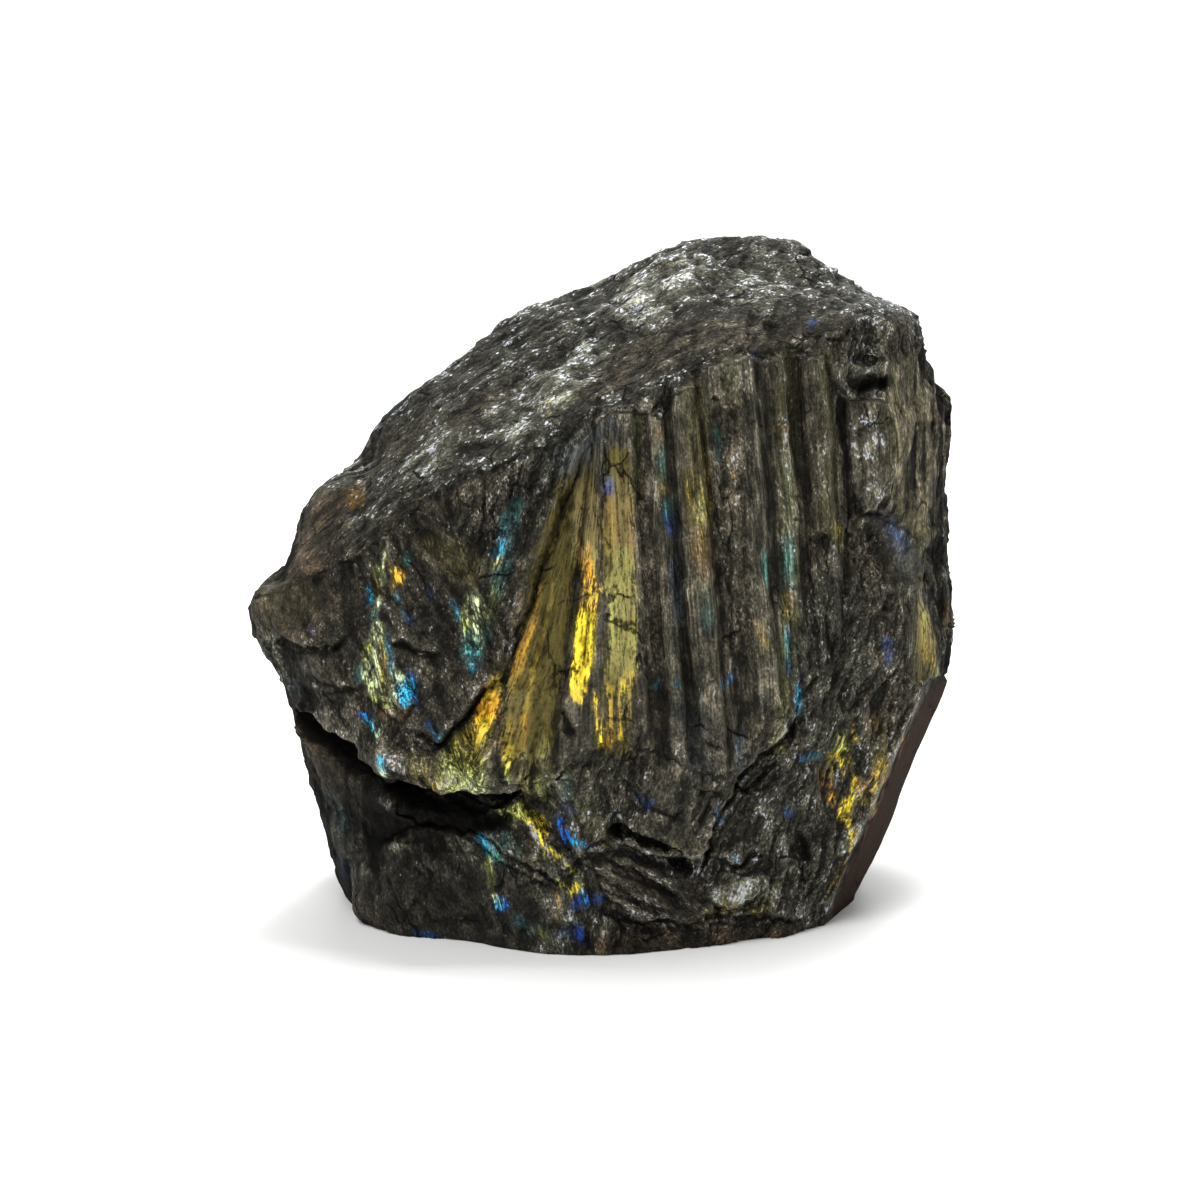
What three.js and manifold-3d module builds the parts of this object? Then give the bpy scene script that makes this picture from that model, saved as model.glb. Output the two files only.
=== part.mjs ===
// Rough labradorite chunk: one broken lump of stone that stands on its own flat base.
// Millimetres, +Z up. The ribbed show face looks along -Y, and the origin is the middle of the base.
//
// The lump starts as the convex block between its named corners. A ball of points is pushed out to
// that block from a centre inside it, and the ribs, the swellings and the roughness are added on the
// way. The flat base, the deep cleft and the smaller wedge cracks are then cut with booleans.

import * as THREE from 'three';
import { ConvexGeometry } from 'three/addons/geometries/ConvexGeometry.js';
import { ImprovedNoise } from 'three/addons/math/ImprovedNoise.js';
import { mergeVertices } from 'three/addons/utils/BufferGeometryUtils.js';
import Module from 'manifold-3d';

// ---- driving dimensions -------------------------------------------------------------------------
const WIDTH = 120;
const DEPTH = 78;
const HEIGHT = 114;

const BALL_DETAIL = 19;       // splits along each edge of the starting ball
const FRONT_BIAS = 0.36;      // how far the points crowd towards the show face
const EDGE_SOFTNESS = 0.9;    // rounding of the block's edges
const SAME_FACE = 0.9995;     // block triangles whose normals agree this closely are one face

const GRAIN_SIZE = 13;        // spacing of the broad lumps in the broken surface
const GRAIN_DEPTH = 1.5;
const CHIP_SIZE = 5;          // spacing of the small chips
const CHIP_DEPTH = 0.7;

// ---- corners of the block -----------------------------------------------------------------------
// Each corner is given in shares of the width, depth and height: [across, back, up], with 0 in the
// middle of the width and of the depth, and 0 at the base.
const CREST = [
  [-0.408, -0.100, 0.588], [-0.352, -0.050, 0.640], [-0.256, -0.030, 0.758],
  [-0.176, 0.000, 0.818], [-0.112, 0.000, 0.872], [0.000, 0.000, 0.916],
  [0.079, 0.010, 0.960], [0.150, 0.020, 0.988], [0.255, 0.020, 0.984],
  [0.322, 0.000, 0.930], [0.400, 0.000, 0.892], [0.456, 0.030, 0.850],
];
const FRONT_RIDGE = [
  [-0.334, -0.308, 0.557], [-0.229, -0.359, 0.651], [-0.134, -0.397, 0.703], [0.000, -0.412, 0.780],
  [0.120, -0.397, 0.840], [0.268, -0.333, 0.864], [0.400, -0.190, 0.885],
];
const NOSE = [
  [-0.480, -0.160, 0.480], [-0.486, -0.200, 0.460], [-0.470, -0.240, 0.490], [-0.478, -0.190, 0.425],
];
const SHOW_FACE = [
  [-0.285, -0.440, 0.300], [-0.217, -0.470, 0.275], [-0.110, -0.490, 0.260], [0.010, -0.490, 0.420],
  [0.402, -0.215, 0.705], [0.440, -0.200, 0.500], [0.461, -0.160, 0.358], [0.392, -0.205, 0.184],
];
const RIGHT_SIDE = [
  [0.482, 0.050, 0.785], [0.504, 0.080, 0.640], [0.508, 0.080, 0.470], [0.508, 0.050, 0.395],
  [0.494, 0.000, 0.336], [0.426, 0.000, 0.142],
];
const LEFT_SIDE = [
  [-0.416, -0.180, 0.365], [-0.396, -0.150, 0.250], [-0.382, -0.160, 0.139], [-0.372, -0.190, 0.060],
];
const BACK = [
  [-0.310, 0.170, 0.660], [-0.080, 0.230, 0.790], [0.220, 0.220, 0.880], [0.410, 0.250, 0.700],
  [-0.430, 0.110, 0.440], [-0.360, 0.350, 0.420], [-0.060, 0.500, 0.500], [0.240, 0.490, 0.470],
  [0.450, 0.320, 0.420], [-0.390, 0.210, 0.130], [0.410, 0.280, 0.140],
];
const BASE = [
  [-0.340, -0.300, 0.000], [-0.180, -0.390, 0.000], [-0.054, -0.485, 0.000], [0.045, -0.475, 0.000],
  [0.193, -0.405, 0.000], [0.334, -0.260, 0.000], [0.350, 0.160, 0.000], [0.210, 0.400, 0.000],
  [-0.060, 0.450, 0.000], [-0.290, 0.330, 0.000], [-0.360, 0.050, 0.000],
];
const BASE_ALLOWANCE = 0.02;  // the block starts this share of the height too low, to be cut off flat

const HEART = new THREE.Vector3(0, 0, 0.45 * HEIGHT);

/** A point given as shares of the width, depth and height. */
function place([across, back, up]) {
  return new THREE.Vector3(across * WIDTH, back * DEPTH, up * HEIGHT);
}

// ---- ribs of the show face ----------------------------------------------------------------------
// The columns that stand side by side between the front ridge and the rough foot. Each one has its
// left and right edge at mid height, how proud it stands, and the heights of its top and foot.
const RIBS = [
  { left: -0.066, right: -0.028, proud: 0.8, top: 0.70, foot: 0.30 },
  { left: -0.022, right: 0.052, proud: 1.6, top: 0.74, foot: 0.27 },
  { left: 0.078, right: 0.098, proud: 1.2, top: 0.76, foot: 0.33 },
  { left: 0.112, right: 0.164, proud: 1.8, top: 0.80, foot: 0.30 },
  { left: 0.172, right: 0.240, proud: 2.2, top: 0.83, foot: 0.26 },
  { left: 0.250, right: 0.286, proud: 1.5, top: 0.84, foot: 0.26 },
  { left: 0.304, right: 0.342, proud: 1.7, top: 0.84, foot: 0.28 },
  { left: 0.368, right: 0.424, proud: 2.2, top: 0.82, foot: 0.62 },
];
const RIB_LEAN = 0.10;        // the ribs drift to the right by this share of the drop
const RIB_MID = 0.55;         // height at which the edges above are given
const RIB_FADE = 0.05;        // height over which a rib dies out at its top and foot
const RIB_FACING = 0.35;      // only the skin that looks this much to the front carries ribs

/** How much a value lies between two edges, with a soft slope at each. */
function between(value, low, high, slope) {
  return THREE.MathUtils.smoothstep(value, low - slope, low + slope)
    * (1 - THREE.MathUtils.smoothstep(value, high - slope, high + slope));
}

/** Height of the ribs over the show face, in millimetres, at a point of the block. */
function ribHeight(point) {
  const up = point.z / HEIGHT;
  const across = point.x / WIDTH - RIB_LEAN * (RIB_MID - up);
  let height = 0;
  for (const rib of RIBS) {
    const halfWidth = (rib.right - rib.left) / 2;
    const offset = (across - (rib.left + rib.right) / 2) / halfWidth;
    const crown = Math.sqrt(Math.max(0, 1 - offset * offset));
    height = Math.max(height, rib.proud * crown * between(up, rib.foot, rib.top, RIB_FADE));
  }
  return height;
}

// ---- broad hollows and swellings ----------------------------------------------------------------
// Soft dents (negative) and swellings (positive), each round a place on the block's skin.
const SWELLINGS = [
  { at: [-0.280, -0.330, 0.110], reach: 17, lift: -6.0 },   // lower left, set back under the lip
  { at: [-0.420, -0.180, 0.330], reach: 12, lift: -2.0 },   // undercut below the nose
  { at: [-0.440, -0.160, 0.550], reach: 7, lift: -2.6 },    // saddle above the nose
  { at: [-0.230, -0.450, 0.300], reach: 13, lift: 2.6 },    // lip over the cleft
  { at: [-0.120, -0.460, 0.560], reach: 12, lift: -2.6 },   // hollow left of the flash column
  { at: [-0.020, -0.480, 0.055], reach: 9, lift: 2.2 },     // slab shard at the foot
  { at: [0.140, -0.400, 0.190], reach: 8, lift: 2.0 },      // plate with the pale lip
  { at: [0.400, -0.190, 0.560], reach: 9, lift: -2.4 },     // broken patch below the shield plate
  { at: [0.090, -0.200, 0.900], reach: 12, lift: 1.6 },     // crest along the top slope
  { at: [-0.160, -0.220, 0.770], reach: 11, lift: 1.4 },
  { at: [0.050, 0.420, 0.300], reach: 20, lift: -3.0 },     // scoop low on the back
  { at: [-0.300, 0.280, 0.560], reach: 14, lift: 2.0 },
];

/** Sum of the swellings at a point of the block, in millimetres. */
function swelling(point) {
  let lift = 0;
  for (const spot of SWELLINGS) {
    const distance = point.distanceTo(place(spot.at)) / spot.reach;
    lift += spot.lift * Math.exp(-distance * distance);
  }
  return lift;
}

// ---- the block and its skin ---------------------------------------------------------------------

/** Flat faces of the convex block between the corners, each as a plane once. */
function blockFaces() {
  const corners = [CREST, FRONT_RIDGE, NOSE, SHOW_FACE, RIGHT_SIDE, LEFT_SIDE, BACK].flat().map(place);
  for (const corner of BASE.map(place)) {
    corners.push(corner.setZ(-BASE_ALLOWANCE * HEIGHT));
  }
  const positions = new ConvexGeometry(corners).attributes.position;
  const faces = [];
  for (let i = 0; i < positions.count; i += 3) {
    const [a, b, c] = [0, 1, 2].map((k) => new THREE.Vector3().fromBufferAttribute(positions, i + k));
    const face = new THREE.Plane().setFromCoplanarPoints(a, b, c);
    const known = faces.some((other) => other.normal.dot(face.normal) > SAME_FACE);
    if (!known) {
      faces.push(face);
    }
  }
  return faces;
}

/** Distance from the heart to the block's skin along a direction, rounded where faces meet. */
function reach(direction, faces) {
  const distances = faces
    .filter((face) => face.normal.dot(direction) > 0)
    .map((face) => -face.distanceToPoint(HEART) / face.normal.dot(direction));
  const nearest = Math.min(...distances);
  const sum = distances.reduce((total, d) => total + Math.exp((nearest - d) / EDGE_SOFTNESS), 0);
  return nearest - EDGE_SOFTNESS * Math.log(sum);
}

/** The rough lump before its cuts: a ball of points pushed out to the block, with its relief. */
function lumpGeometry() {
  const ball = new THREE.IcosahedronGeometry(1, BALL_DETAIL);
  ball.deleteAttribute('normal');
  ball.deleteAttribute('uv');
  const geometry = mergeVertices(ball, 1e-5);
  const faces = blockFaces();
  const noise = new ImprovedNoise();
  const positions = geometry.attributes.position;
  const direction = new THREE.Vector3();
  const point = new THREE.Vector3();
  for (let i = 0; i < positions.count; i += 1) {
    direction.fromBufferAttribute(positions, i);
    direction.y -= FRONT_BIAS;
    direction.normalize();
    const distance = reach(direction, faces);
    point.copy(HEART).addScaledVector(direction, distance);
    const lumps = noise.noise(point.x / GRAIN_SIZE, point.y / GRAIN_SIZE, point.z / GRAIN_SIZE);
    const chips = noise.noise(point.x / CHIP_SIZE, point.y / CHIP_SIZE, point.z / CHIP_SIZE);
    const facing = THREE.MathUtils.smoothstep(-direction.y, RIB_FACING / 2, RIB_FACING);
    const relief = lumps * GRAIN_DEPTH + chips * CHIP_DEPTH
      + facing * ribHeight(point) + swelling(point);
    point.addScaledVector(direction, relief);
    positions.setXYZ(i, point.x, point.y, point.z);
  }
  return geometry;
}

// ---- booleans -----------------------------------------------------------------------------------
const wasm = await Module();
wasm.setup();

/** Closed solid of a geometry, placed by a matrix. */
function solid(geometry, matrix = new THREE.Matrix4()) {
  const bare = geometry.clone().applyMatrix4(matrix);
  bare.deleteAttribute('normal');
  bare.deleteAttribute('uv');
  const merged = mergeVertices(bare, 1e-5);
  return new wasm.Manifold(new wasm.Mesh({
    numProp: 3,
    vertProperties: new Float32Array(merged.attributes.position.array),
    triVerts: new Uint32Array(merged.index.array),
  }));
}

/** Geometry of a solid, in flat facets. */
function toGeometry(manifold) {
  const mesh = manifold.getMesh();
  const geometry = new THREE.BufferGeometry();
  geometry.setAttribute('position', new THREE.BufferAttribute(mesh.vertProperties, 3));
  geometry.setIndex(new THREE.BufferAttribute(mesh.triVerts, 1));
  return geometry;
}

/** Block that holds everything above the base plane. */
function aboveBase() {
  const size = 2 * WIDTH;
  return solid(new THREE.BoxGeometry(size, size, size), new THREE.Matrix4().makeTranslation(0, 0, size / 2));
}

// Wedge cracks that open on the show face. Each is a row of stations along its mouth, with the gape
// there in millimetres, and it narrows to nothing at its depth inside the stone.
const CRACKS = [
  {                           // the deep cleft under the overhanging lip
    depth: 17,
    rise: 5,
    stations: [
      { at: [-0.420, -0.240, 0.285], gape: 5 },
      { at: [-0.370, -0.300, 0.258], gape: 8 },
      { at: [-0.298, -0.390, 0.226], gape: 11 },
      { at: [-0.213, -0.430, 0.208], gape: 10 },
      { at: [-0.128, -0.460, 0.210], gape: 5 },
      { at: [-0.095, -0.480, 0.222], gape: 2 },
    ],
  },
  {                           // the wedge under the plate with the pale lip
    depth: 9,
    rise: 1,
    stations: [
      { at: [0.015, -0.480, 0.172], gape: 2 },
      { at: [0.060, -0.470, 0.152], gape: 4 },
      { at: [0.095, -0.450, 0.135], gape: 4 },
      { at: [0.130, -0.430, 0.100], gape: 2 },
    ],
  },
  {                           // the pit over the shield plate
    depth: 5,
    rise: 1,
    stations: [
      { at: [0.345, -0.250, 0.815], gape: 3 },
      { at: [0.372, -0.220, 0.808], gape: 3.5 },
      { at: [0.396, -0.200, 0.812], gape: 2 },
    ],
  },
];
const CRACK_MOUTH = 8;        // how far the wedge stands out of the stone, so that it cuts clean

/** Corners of a crack's section at one of its stations: two at the mouth and one at the tip. */
function crackSection({ at, gape }, { depth, rise }) {
  const middle = place(at);
  return [
    middle.clone().add(new THREE.Vector3(0, -CRACK_MOUTH, -gape / 2)),
    middle.clone().add(new THREE.Vector3(0, -CRACK_MOUTH, gape / 2)),
    middle.clone().add(new THREE.Vector3(0, depth, rise)),
  ];
}

/** Wedge of one crack: the stretches between its stations, joined. */
function crackSolid(crack) {
  const sections = crack.stations.map((station) => crackSection(station, crack));
  const hull = (section, i) => solid(new ConvexGeometry([...sections[i], ...section]));
  const stretches = sections.slice(1).map(hull);
  return stretches.reduce((whole, stretch) => whole.add(stretch));
}

/** Scales a geometry to the driving dimensions and stands it on its base at the origin. */
function fitToSize(geometry) {
  geometry.computeBoundingBox();
  const size = geometry.boundingBox.getSize(new THREE.Vector3());
  const middle = geometry.boundingBox.getCenter(new THREE.Vector3());
  geometry.translate(-middle.x, -middle.y, -geometry.boundingBox.min.z);
  geometry.scale(WIDTH / size.x, DEPTH / size.y, HEIGHT / size.z);
  return geometry;
}

/** The finished stone: the lump with its flat base and its cracks cut. */
function stoneGeometry() {
  let stone = solid(lumpGeometry()).intersect(aboveBase());
  for (const crack of CRACKS) {
    stone = stone.subtract(crackSolid(crack));
  }
  return fitToSize(toGeometry(stone));
}

// ---- the model ----------------------------------------------------------------------------------
const labradorite = new THREE.MeshStandardMaterial({ color: 0x34322d, roughness: 0.55, metalness: 0.1 });

const stone = new THREE.Mesh(stoneGeometry(), labradorite);
stone.name = 'labradorite_chunk';

const model = new THREE.Group();
model.add(stone);

export default model;
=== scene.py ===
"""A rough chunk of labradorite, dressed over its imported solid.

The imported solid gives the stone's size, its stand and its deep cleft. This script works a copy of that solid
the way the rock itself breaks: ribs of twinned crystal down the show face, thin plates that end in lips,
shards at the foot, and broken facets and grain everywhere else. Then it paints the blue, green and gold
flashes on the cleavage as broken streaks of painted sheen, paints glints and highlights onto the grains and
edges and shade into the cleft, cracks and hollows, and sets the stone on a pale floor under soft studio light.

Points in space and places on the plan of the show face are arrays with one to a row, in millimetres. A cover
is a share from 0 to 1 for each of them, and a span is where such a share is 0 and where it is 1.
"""

from __future__ import annotations

import itertools
import logging
import math
from collections.abc import Mapping, Sequence
from dataclasses import dataclass, field
from enum import Enum
from typing import Any

import bpy
import numpy as np
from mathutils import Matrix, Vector

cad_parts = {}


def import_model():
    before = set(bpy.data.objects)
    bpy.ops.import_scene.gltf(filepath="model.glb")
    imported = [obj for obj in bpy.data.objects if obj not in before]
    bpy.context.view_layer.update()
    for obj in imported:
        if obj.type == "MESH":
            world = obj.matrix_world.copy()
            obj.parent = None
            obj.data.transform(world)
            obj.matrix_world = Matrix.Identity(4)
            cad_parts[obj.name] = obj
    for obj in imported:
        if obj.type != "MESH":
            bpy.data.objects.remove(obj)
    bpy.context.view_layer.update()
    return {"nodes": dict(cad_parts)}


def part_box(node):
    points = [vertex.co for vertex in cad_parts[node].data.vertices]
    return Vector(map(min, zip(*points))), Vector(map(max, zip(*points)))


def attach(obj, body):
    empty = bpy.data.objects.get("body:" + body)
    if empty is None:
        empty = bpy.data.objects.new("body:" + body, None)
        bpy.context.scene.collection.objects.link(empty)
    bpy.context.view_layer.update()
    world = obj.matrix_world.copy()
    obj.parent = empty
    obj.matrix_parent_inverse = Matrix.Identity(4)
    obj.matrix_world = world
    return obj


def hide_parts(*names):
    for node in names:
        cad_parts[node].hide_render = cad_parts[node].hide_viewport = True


LOG = logging.getLogger("labradorite")
PIECE = "labradorite_chunk"
MM = 0.001
SMOOTH_NORMAL = "smooth_normal"
# what the colour attributes divide strong values by, so that they fit between 0 and 1
FLASH_SCALE = 2.0
LIGHT_SCALE = 4.0
# keys that mix a cell's whole numbers into a random one
WORD = np.uint64(0xFFFFFFFF)
AXIS_KEYS = np.array([73856093, 19349663, 83492791], np.uint64)
MIXERS = ((15, 2246822519), (13, 3266489917))

Array = np.ndarray
Material, Mesh, Object, Socket = bpy.types.Material, bpy.types.Mesh, bpy.types.Object, bpy.types.NodeSocket
Points = Sequence[tuple[float, ...]]
Triple = tuple[float, float, float]
Pair = Span = tuple[float, float]
# layers of noise, each its amount, the size of its humps and its seed
Layers = Sequence[tuple[float, float | Triple, int]]


class Hue(Enum):
    """Colours of the stone and its flashes, as red, green and blue in linear light."""

    YELLOW = (1.0, 0.76, 0.05)
    GOLD = (0.66, 0.48, 0.07)
    AMBER = (0.90, 0.47, 0.04)
    ORANGE = (0.56, 0.33, 0.11)
    UMBER = (0.085, 0.068, 0.020)
    BRONZE = (0.175, 0.137, 0.055)
    OLIVE = (0.29, 0.26, 0.085)
    LIME = (0.50, 0.55, 0.12)
    CREAM = (0.74, 0.84, 0.46)
    TEAL = (0.10, 0.45, 0.42)
    CYAN = (0.05, 0.55, 0.85)
    BLUE = (0.02, 0.15, 0.62)
    DEEP_BLUE = (0.01, 0.05, 0.33)
    VIOLET = (0.22, 0.18, 0.60)
    SLATE = (0.12, 0.17, 0.22)


YELLOW, GOLD, AMBER, ORANGE, UMBER, BRONZE, OLIVE, LIME, *COLD = Hue
CREAM, TEAL, CYAN, BLUE, DEEP_BLUE, VIOLET, SLATE = COLD


def graded(hues: Sequence[Hue], share: Array) -> Array:
    """Runs through evenly spaced hues and gives the colour at each share of the way."""
    stops = np.linspace(0.0, 1.0, len(hues))
    return np.stack([np.interp(share, stops, part) for part in zip(*(hue.value for hue in hues))], axis=1)


def ease(low: float, high: float, value: Array) -> Array:
    """Rises smoothly from 0 where the value is low to 1 where it is high. Low may be the greater."""
    share = np.clip((value - low) / (high - low), 0.0, 1.0)
    return share * share * (3.0 - 2.0 * share)


def unit(vectors: Array) -> Array:
    """Brings each row to a length of 1, where it has any length."""
    return vectors / np.maximum(np.linalg.norm(vectors, axis=1, keepdims=True), 1e-6)


def read(rows: Any, name: str, width: int, kind: type = float) -> Array:
    """Reads one property of a mesh's points, edges, faces or corners.

    Args:
        rows: Where to read, such as the mesh's vertices.
        name: The property.
        width: How many numbers it has.
        kind: The type of the numbers.

    Returns:
        One row for each, or plain numbers where the width is 1.
    """
    values = np.zeros(len(rows) * width, kind)
    rows.foreach_get(name, values)
    return values if width == 1 else values.reshape(-1, width)


def write(rows: Any, name: str, values: Array) -> None:
    """Writes one property of a mesh's points or corners, one row for each."""
    rows.foreach_set(name, values.astype(np.float32).ravel())


def placed(name: str, data: Any) -> Object:
    """Puts new mesh, light or camera data into the scene as an object."""
    made = bpy.data.objects.new(name, data)
    bpy.context.scene.collection.objects.link(made)
    return made


def trace(points: Points, place: Array) -> tuple[Array, Array, Array]:
    """Measures places on the plan against a line drawn on it.

    Args:
        points: The line's points, each (across, up) or (across, up, width).
        place: Places on the plan.

    Returns:
        How far each place is off the line, positive on the left of the way it runs, the share of the way
        along, and half the line's width there.
    """
    line = np.array([(*point, 0.0)[:3] for point in points], float)
    if len(line) == 1:
        line = np.vstack([line, line + [0.0, 0.01, 0.0]])
    runs = np.diff(line, axis=0)
    lengths = np.hypot(runs[:, 0], runs[:, 1])
    starts = np.concatenate([[0.0], np.cumsum(lengths)])
    nearest = np.full(len(place), np.inf)
    off, along, half = (np.zeros(len(place)) for _ in range(3))
    for start, run, length, passed in zip(line, runs, lengths, starts):
        rel = place - start[:2]
        share = np.clip(rel @ run[:2] / length**2, 0.0, 1.0)
        gap = np.hypot(*(rel - share[:, None] * run[:2]).T)
        side = np.where(run[0] * rel[:, 1] - run[1] * rel[:, 0] < 0.0, -1.0, 1.0)
        closer = gap < nearest
        nearest = np.where(closer, gap, nearest)
        off = np.where(closer, side * gap, off)
        along = np.where(closer, (passed + share * length) / starts[-1], along)
        half = np.where(closer, (start[2] + share * run[2]) / 2.0, half)
    return off, along, half


def near(points: Points, place: Array, margin: float) -> tuple[Array, Array, Array, Array]:
    """Measures the places that lie close enough to a line to matter.

    Args:
        points: The line's points on the plan.
        place: Places on the plan.
        margin: How far from the line's box still counts, in millimetres.

    Returns:
        The row numbers of those places, and what trace gives for them.
    """
    line = np.array([point[:2] for point in points])
    inside = (place > line.min(axis=0) - margin) & (place < line.max(axis=0) + margin)
    rows = np.nonzero(inside.all(axis=1))[0]
    return rows, *trace(points, place[rows])


def band(path: Points, place: Array, soft: float) -> tuple[Array, Array, Array]:
    """Finds what a band drawn on the plan covers.

    Args:
        path: The band's points, each (across, up, width).
        place: Places on the plan.
        soft: How far its edge fades to each side, in millimetres.

    Returns:
        The rows that it may touch, how far along it each of them lies, and its cover.
    """
    rows, off, along, half = near(path, place, max(point[2] for point in path) / 2.0 + soft)
    return rows, along, ease(soft, -soft, np.abs(off) - half)


@dataclass(frozen=True)
class Grit:
    """Seeded roughness over points in space: smooth noise, and the tilted facets of broken rock."""

    seed: int = 7
    stride: int = 1000
    gain: float = 1.6
    sharpness: float = 28.0
    reach: float = 0.2
    step: float = 0.45
    jitter: float = 0.42

    def _draw(self, cell: Array, channel: int) -> Array:
        """Even random numbers from -1 to 1, always the same for the same cell and channel.

        Args:
            cell: Whole-number cells, three to a row.
            channel: Which of the cell's own numbers to draw.

        Returns:
            One number for each cell.
        """
        start = np.uint64((self.seed * 131 + channel * 17 + 5) * 2654435761)
        mixed = (np.bitwise_xor.reduce(cell.astype(np.uint64) * AXIS_KEYS, axis=1) + start) & WORD
        for turn, factor in MIXERS:
            mixed = ((mixed ^ (mixed >> np.uint64(turn))) * np.uint64(factor)) & WORD
        mixed = (mixed ^ (mixed >> np.uint64(16))) & np.uint64(0xFFFFFF)
        return mixed.astype(float) / 0x7FFFFF - 1.0

    def smooth(self, points: Array, size: float | Triple, seed: int) -> Array:
        """Gradient noise from about -1 to 1.

        Args:
            points: Points in space.
            size: The size of a hump, one number or one for each axis.
            seed: Picks another pattern.

        Returns:
            The noise at each point.
        """
        spot = points / np.array(size)
        cell = np.floor(spot)
        offset = spot - cell
        cell = cell.astype(np.int64) + seed * self.stride
        fade = offset**3 * (offset * (offset * 6.0 - 15.0) + 10.0)
        total = np.zeros(len(points))
        for corner in itertools.product((0, 1), repeat=3):
            lean = np.stack([self._draw(cell + corner, channel) for channel in range(3)], axis=1)
            weight = np.prod(np.where(corner, fade, 1.0 - fade), axis=1)
            total += weight * np.sum(lean * (offset - corner), axis=1)
        return total * self.gain

    def layered(self, points: Array, layers: Layers) -> Array:
        """Adds up layers of smooth noise over the points."""
        return sum(amount * self.smooth(points, size, seed) for amount, size, seed in layers)

    def facets(self, points: Array, size: Triple, seed: int, ramp: float = 1.0) -> Array:
        """Broken facets, each a plane with its own tilt and step, which meet in short ramps.

        Args:
            points: Points in space.
            size: The size of a facet along each axis.
            seed: Picks another pattern.
            ramp: How many times wider than usual the ramps between facets are.

        Returns:
            The height at each point, about -1 to 1.
        """
        spot = points / np.array(size)
        cell = np.floor(spot).astype(np.int64)
        shifts = list(itertools.product((-1, 0, 1), repeat=3))
        gaps = np.stack([np.sum(self._from_seed(spot, cell + shift, seed) ** 2, axis=1) for shift in shifts])
        nearest = gaps.min(axis=0)
        height, weight = np.zeros(len(points)), np.zeros(len(points))
        for shift, gap in zip(shifts, gaps):
            rows = np.nonzero(gap - nearest < self.reach * ramp)[0]
            home = cell[rows] + shift
            away = self._from_seed(spot[rows], home, seed)
            key = home + seed * self.stride
            tilt = np.stack([self._draw(key, channel) for channel in (3, 4, 5)], axis=1)
            share = np.exp((nearest[rows] - gap[rows]) * self.sharpness / ramp)
            height[rows] += share * (np.sum(tilt * away, axis=1) + self.step * self._draw(key, 6))
            weight[rows] += share
        return height / weight

    def _from_seed(self, spot: Array, home: Array, seed: int) -> Array:
        """The way from the middle of the facet whose cell is given to each spot, in cells."""
        draws = np.stack([self._draw(home + seed * self.stride, channel) for channel in range(3)], axis=1)
        return spot - home - 0.5 - self.jitter * draws


@dataclass(frozen=True)
class ShowPlan:
    """The show face laid out flat in millimetres, as it looks from a little above the front."""

    eye_distance: float = 650.0
    eye_rise: float = 12.0
    aim: Triple = (-1.0, 0.0, 52.0)
    corner: Pair = (-61.1, -61.0)

    @property
    def towards(self) -> Array:
        """The way from the stone to the eye."""
        rise = math.radians(self.eye_rise)
        return np.array([0.0, -math.cos(rise), math.sin(rise)])

    def place(self, points: Array) -> Array:
        """Finds where points in space fall on the plan.

        Args:
            points: Points in space.

        Returns:
            How far each is across from the left edge and up from the foot, in millimetres.
        """
        rise = math.radians(self.eye_rise)
        rel = points - [0.0, 0.0, self.aim[2]]
        near_scale = self.eye_distance / (self.eye_distance - rel @ self.towards)
        upward = rel @ np.array([0.0, math.sin(rise), math.cos(rise)])
        return np.stack([points[:, 0], upward], axis=1) * near_scale[:, None] - self.corner


@dataclass(frozen=True)
class Lip:
    """The broken edge of a plate, which stands proud on the left of a line and dies away behind it."""

    path: Points
    rise: float
    run: float
    groove: float
    gain: float = 1.25
    steep: float = 0.3
    fall: float = 1.4
    groove_off: float = 0.4
    groove_half: float = 0.45
    rim_off: float = 0.7
    full_rim: float = 1.5
    taper: float = 7.0
    margin: float = 1.0
    rim_margin: float = 3.0

    def _about(self, place: Array, margin: float) -> tuple[Array, Array, Array]:
        """Gives the rows near the edge, how far off it each lies, and how the edge tapers to its ends."""
        rows, off, along, _ = near(self.path, place, margin)
        return rows, off, np.clip(np.minimum(along, 1.0 - along) * self.taper, 0.0, 1.0)

    def lift(self, place: Array) -> Array:
        """Finds the plate's height over each place, in millimetres.

        Args:
            place: Places on the plan.

        Returns:
            How far the plate lifts or its groove cuts.
        """
        lifted = np.zeros(len(place))
        rows, off, taper = self._about(place, self.run + self.margin)
        behind = np.clip(1.0 - off / self.run, 0.0, 1.0) ** self.fall
        plate = self.gain * self.rise * ease(-self.steep, self.steep, off) * behind
        cut = self.gain * self.groove * np.exp(-(((off + self.groove_off) / self.groove_half) ** 2))
        lifted[rows] = taper * (plate - cut)
        return lifted

    def rim(self, place: Array) -> Array:
        """The share of each place that lies on the plate's edge, where a highlight is painted."""
        share = np.zeros(len(place))
        rows, off, taper = self._about(place, self.rim_margin)
        worn = np.exp(-(((off - self.rim_off) / self.rim_off) ** 2))
        share[rows] = taper * worn * min(self.rise / self.full_rim, 1.0)
        return share


@dataclass(frozen=True)
class Swell:
    """A rounded ridge, block or pit along a line with a width at each of its points."""

    path: Points
    rise: float
    crown: float = 1.0

    def lift(self, place: Array) -> Array:
        """Finds the swell's height over each place, in millimetres.

        Args:
            place: Places on the plan.

        Returns:
            How far the swell lifts, or sinks where its rise is negative.
        """
        lifted = np.zeros(len(place))
        rows, off, _, half = near(self.path, place, max(point[2] for point in self.path))
        lifted[rows] = self.rise * np.clip(1.0 - (off / half) ** 2, 0.0, 1.0) ** self.crown
        return lifted


@dataclass(frozen=True)
class Dent:
    """A soft dent or bulge of the whole outline about a place on the plan."""

    at: Pair
    reach: float
    lift: float

    def depth(self, place: Array) -> Array:
        """Finds how far each place moves outward, or inward where it is negative."""
        away = np.sum((place - self.at) ** 2, axis=1) / self.reach**2
        return self.lift * np.exp(-away)


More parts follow.
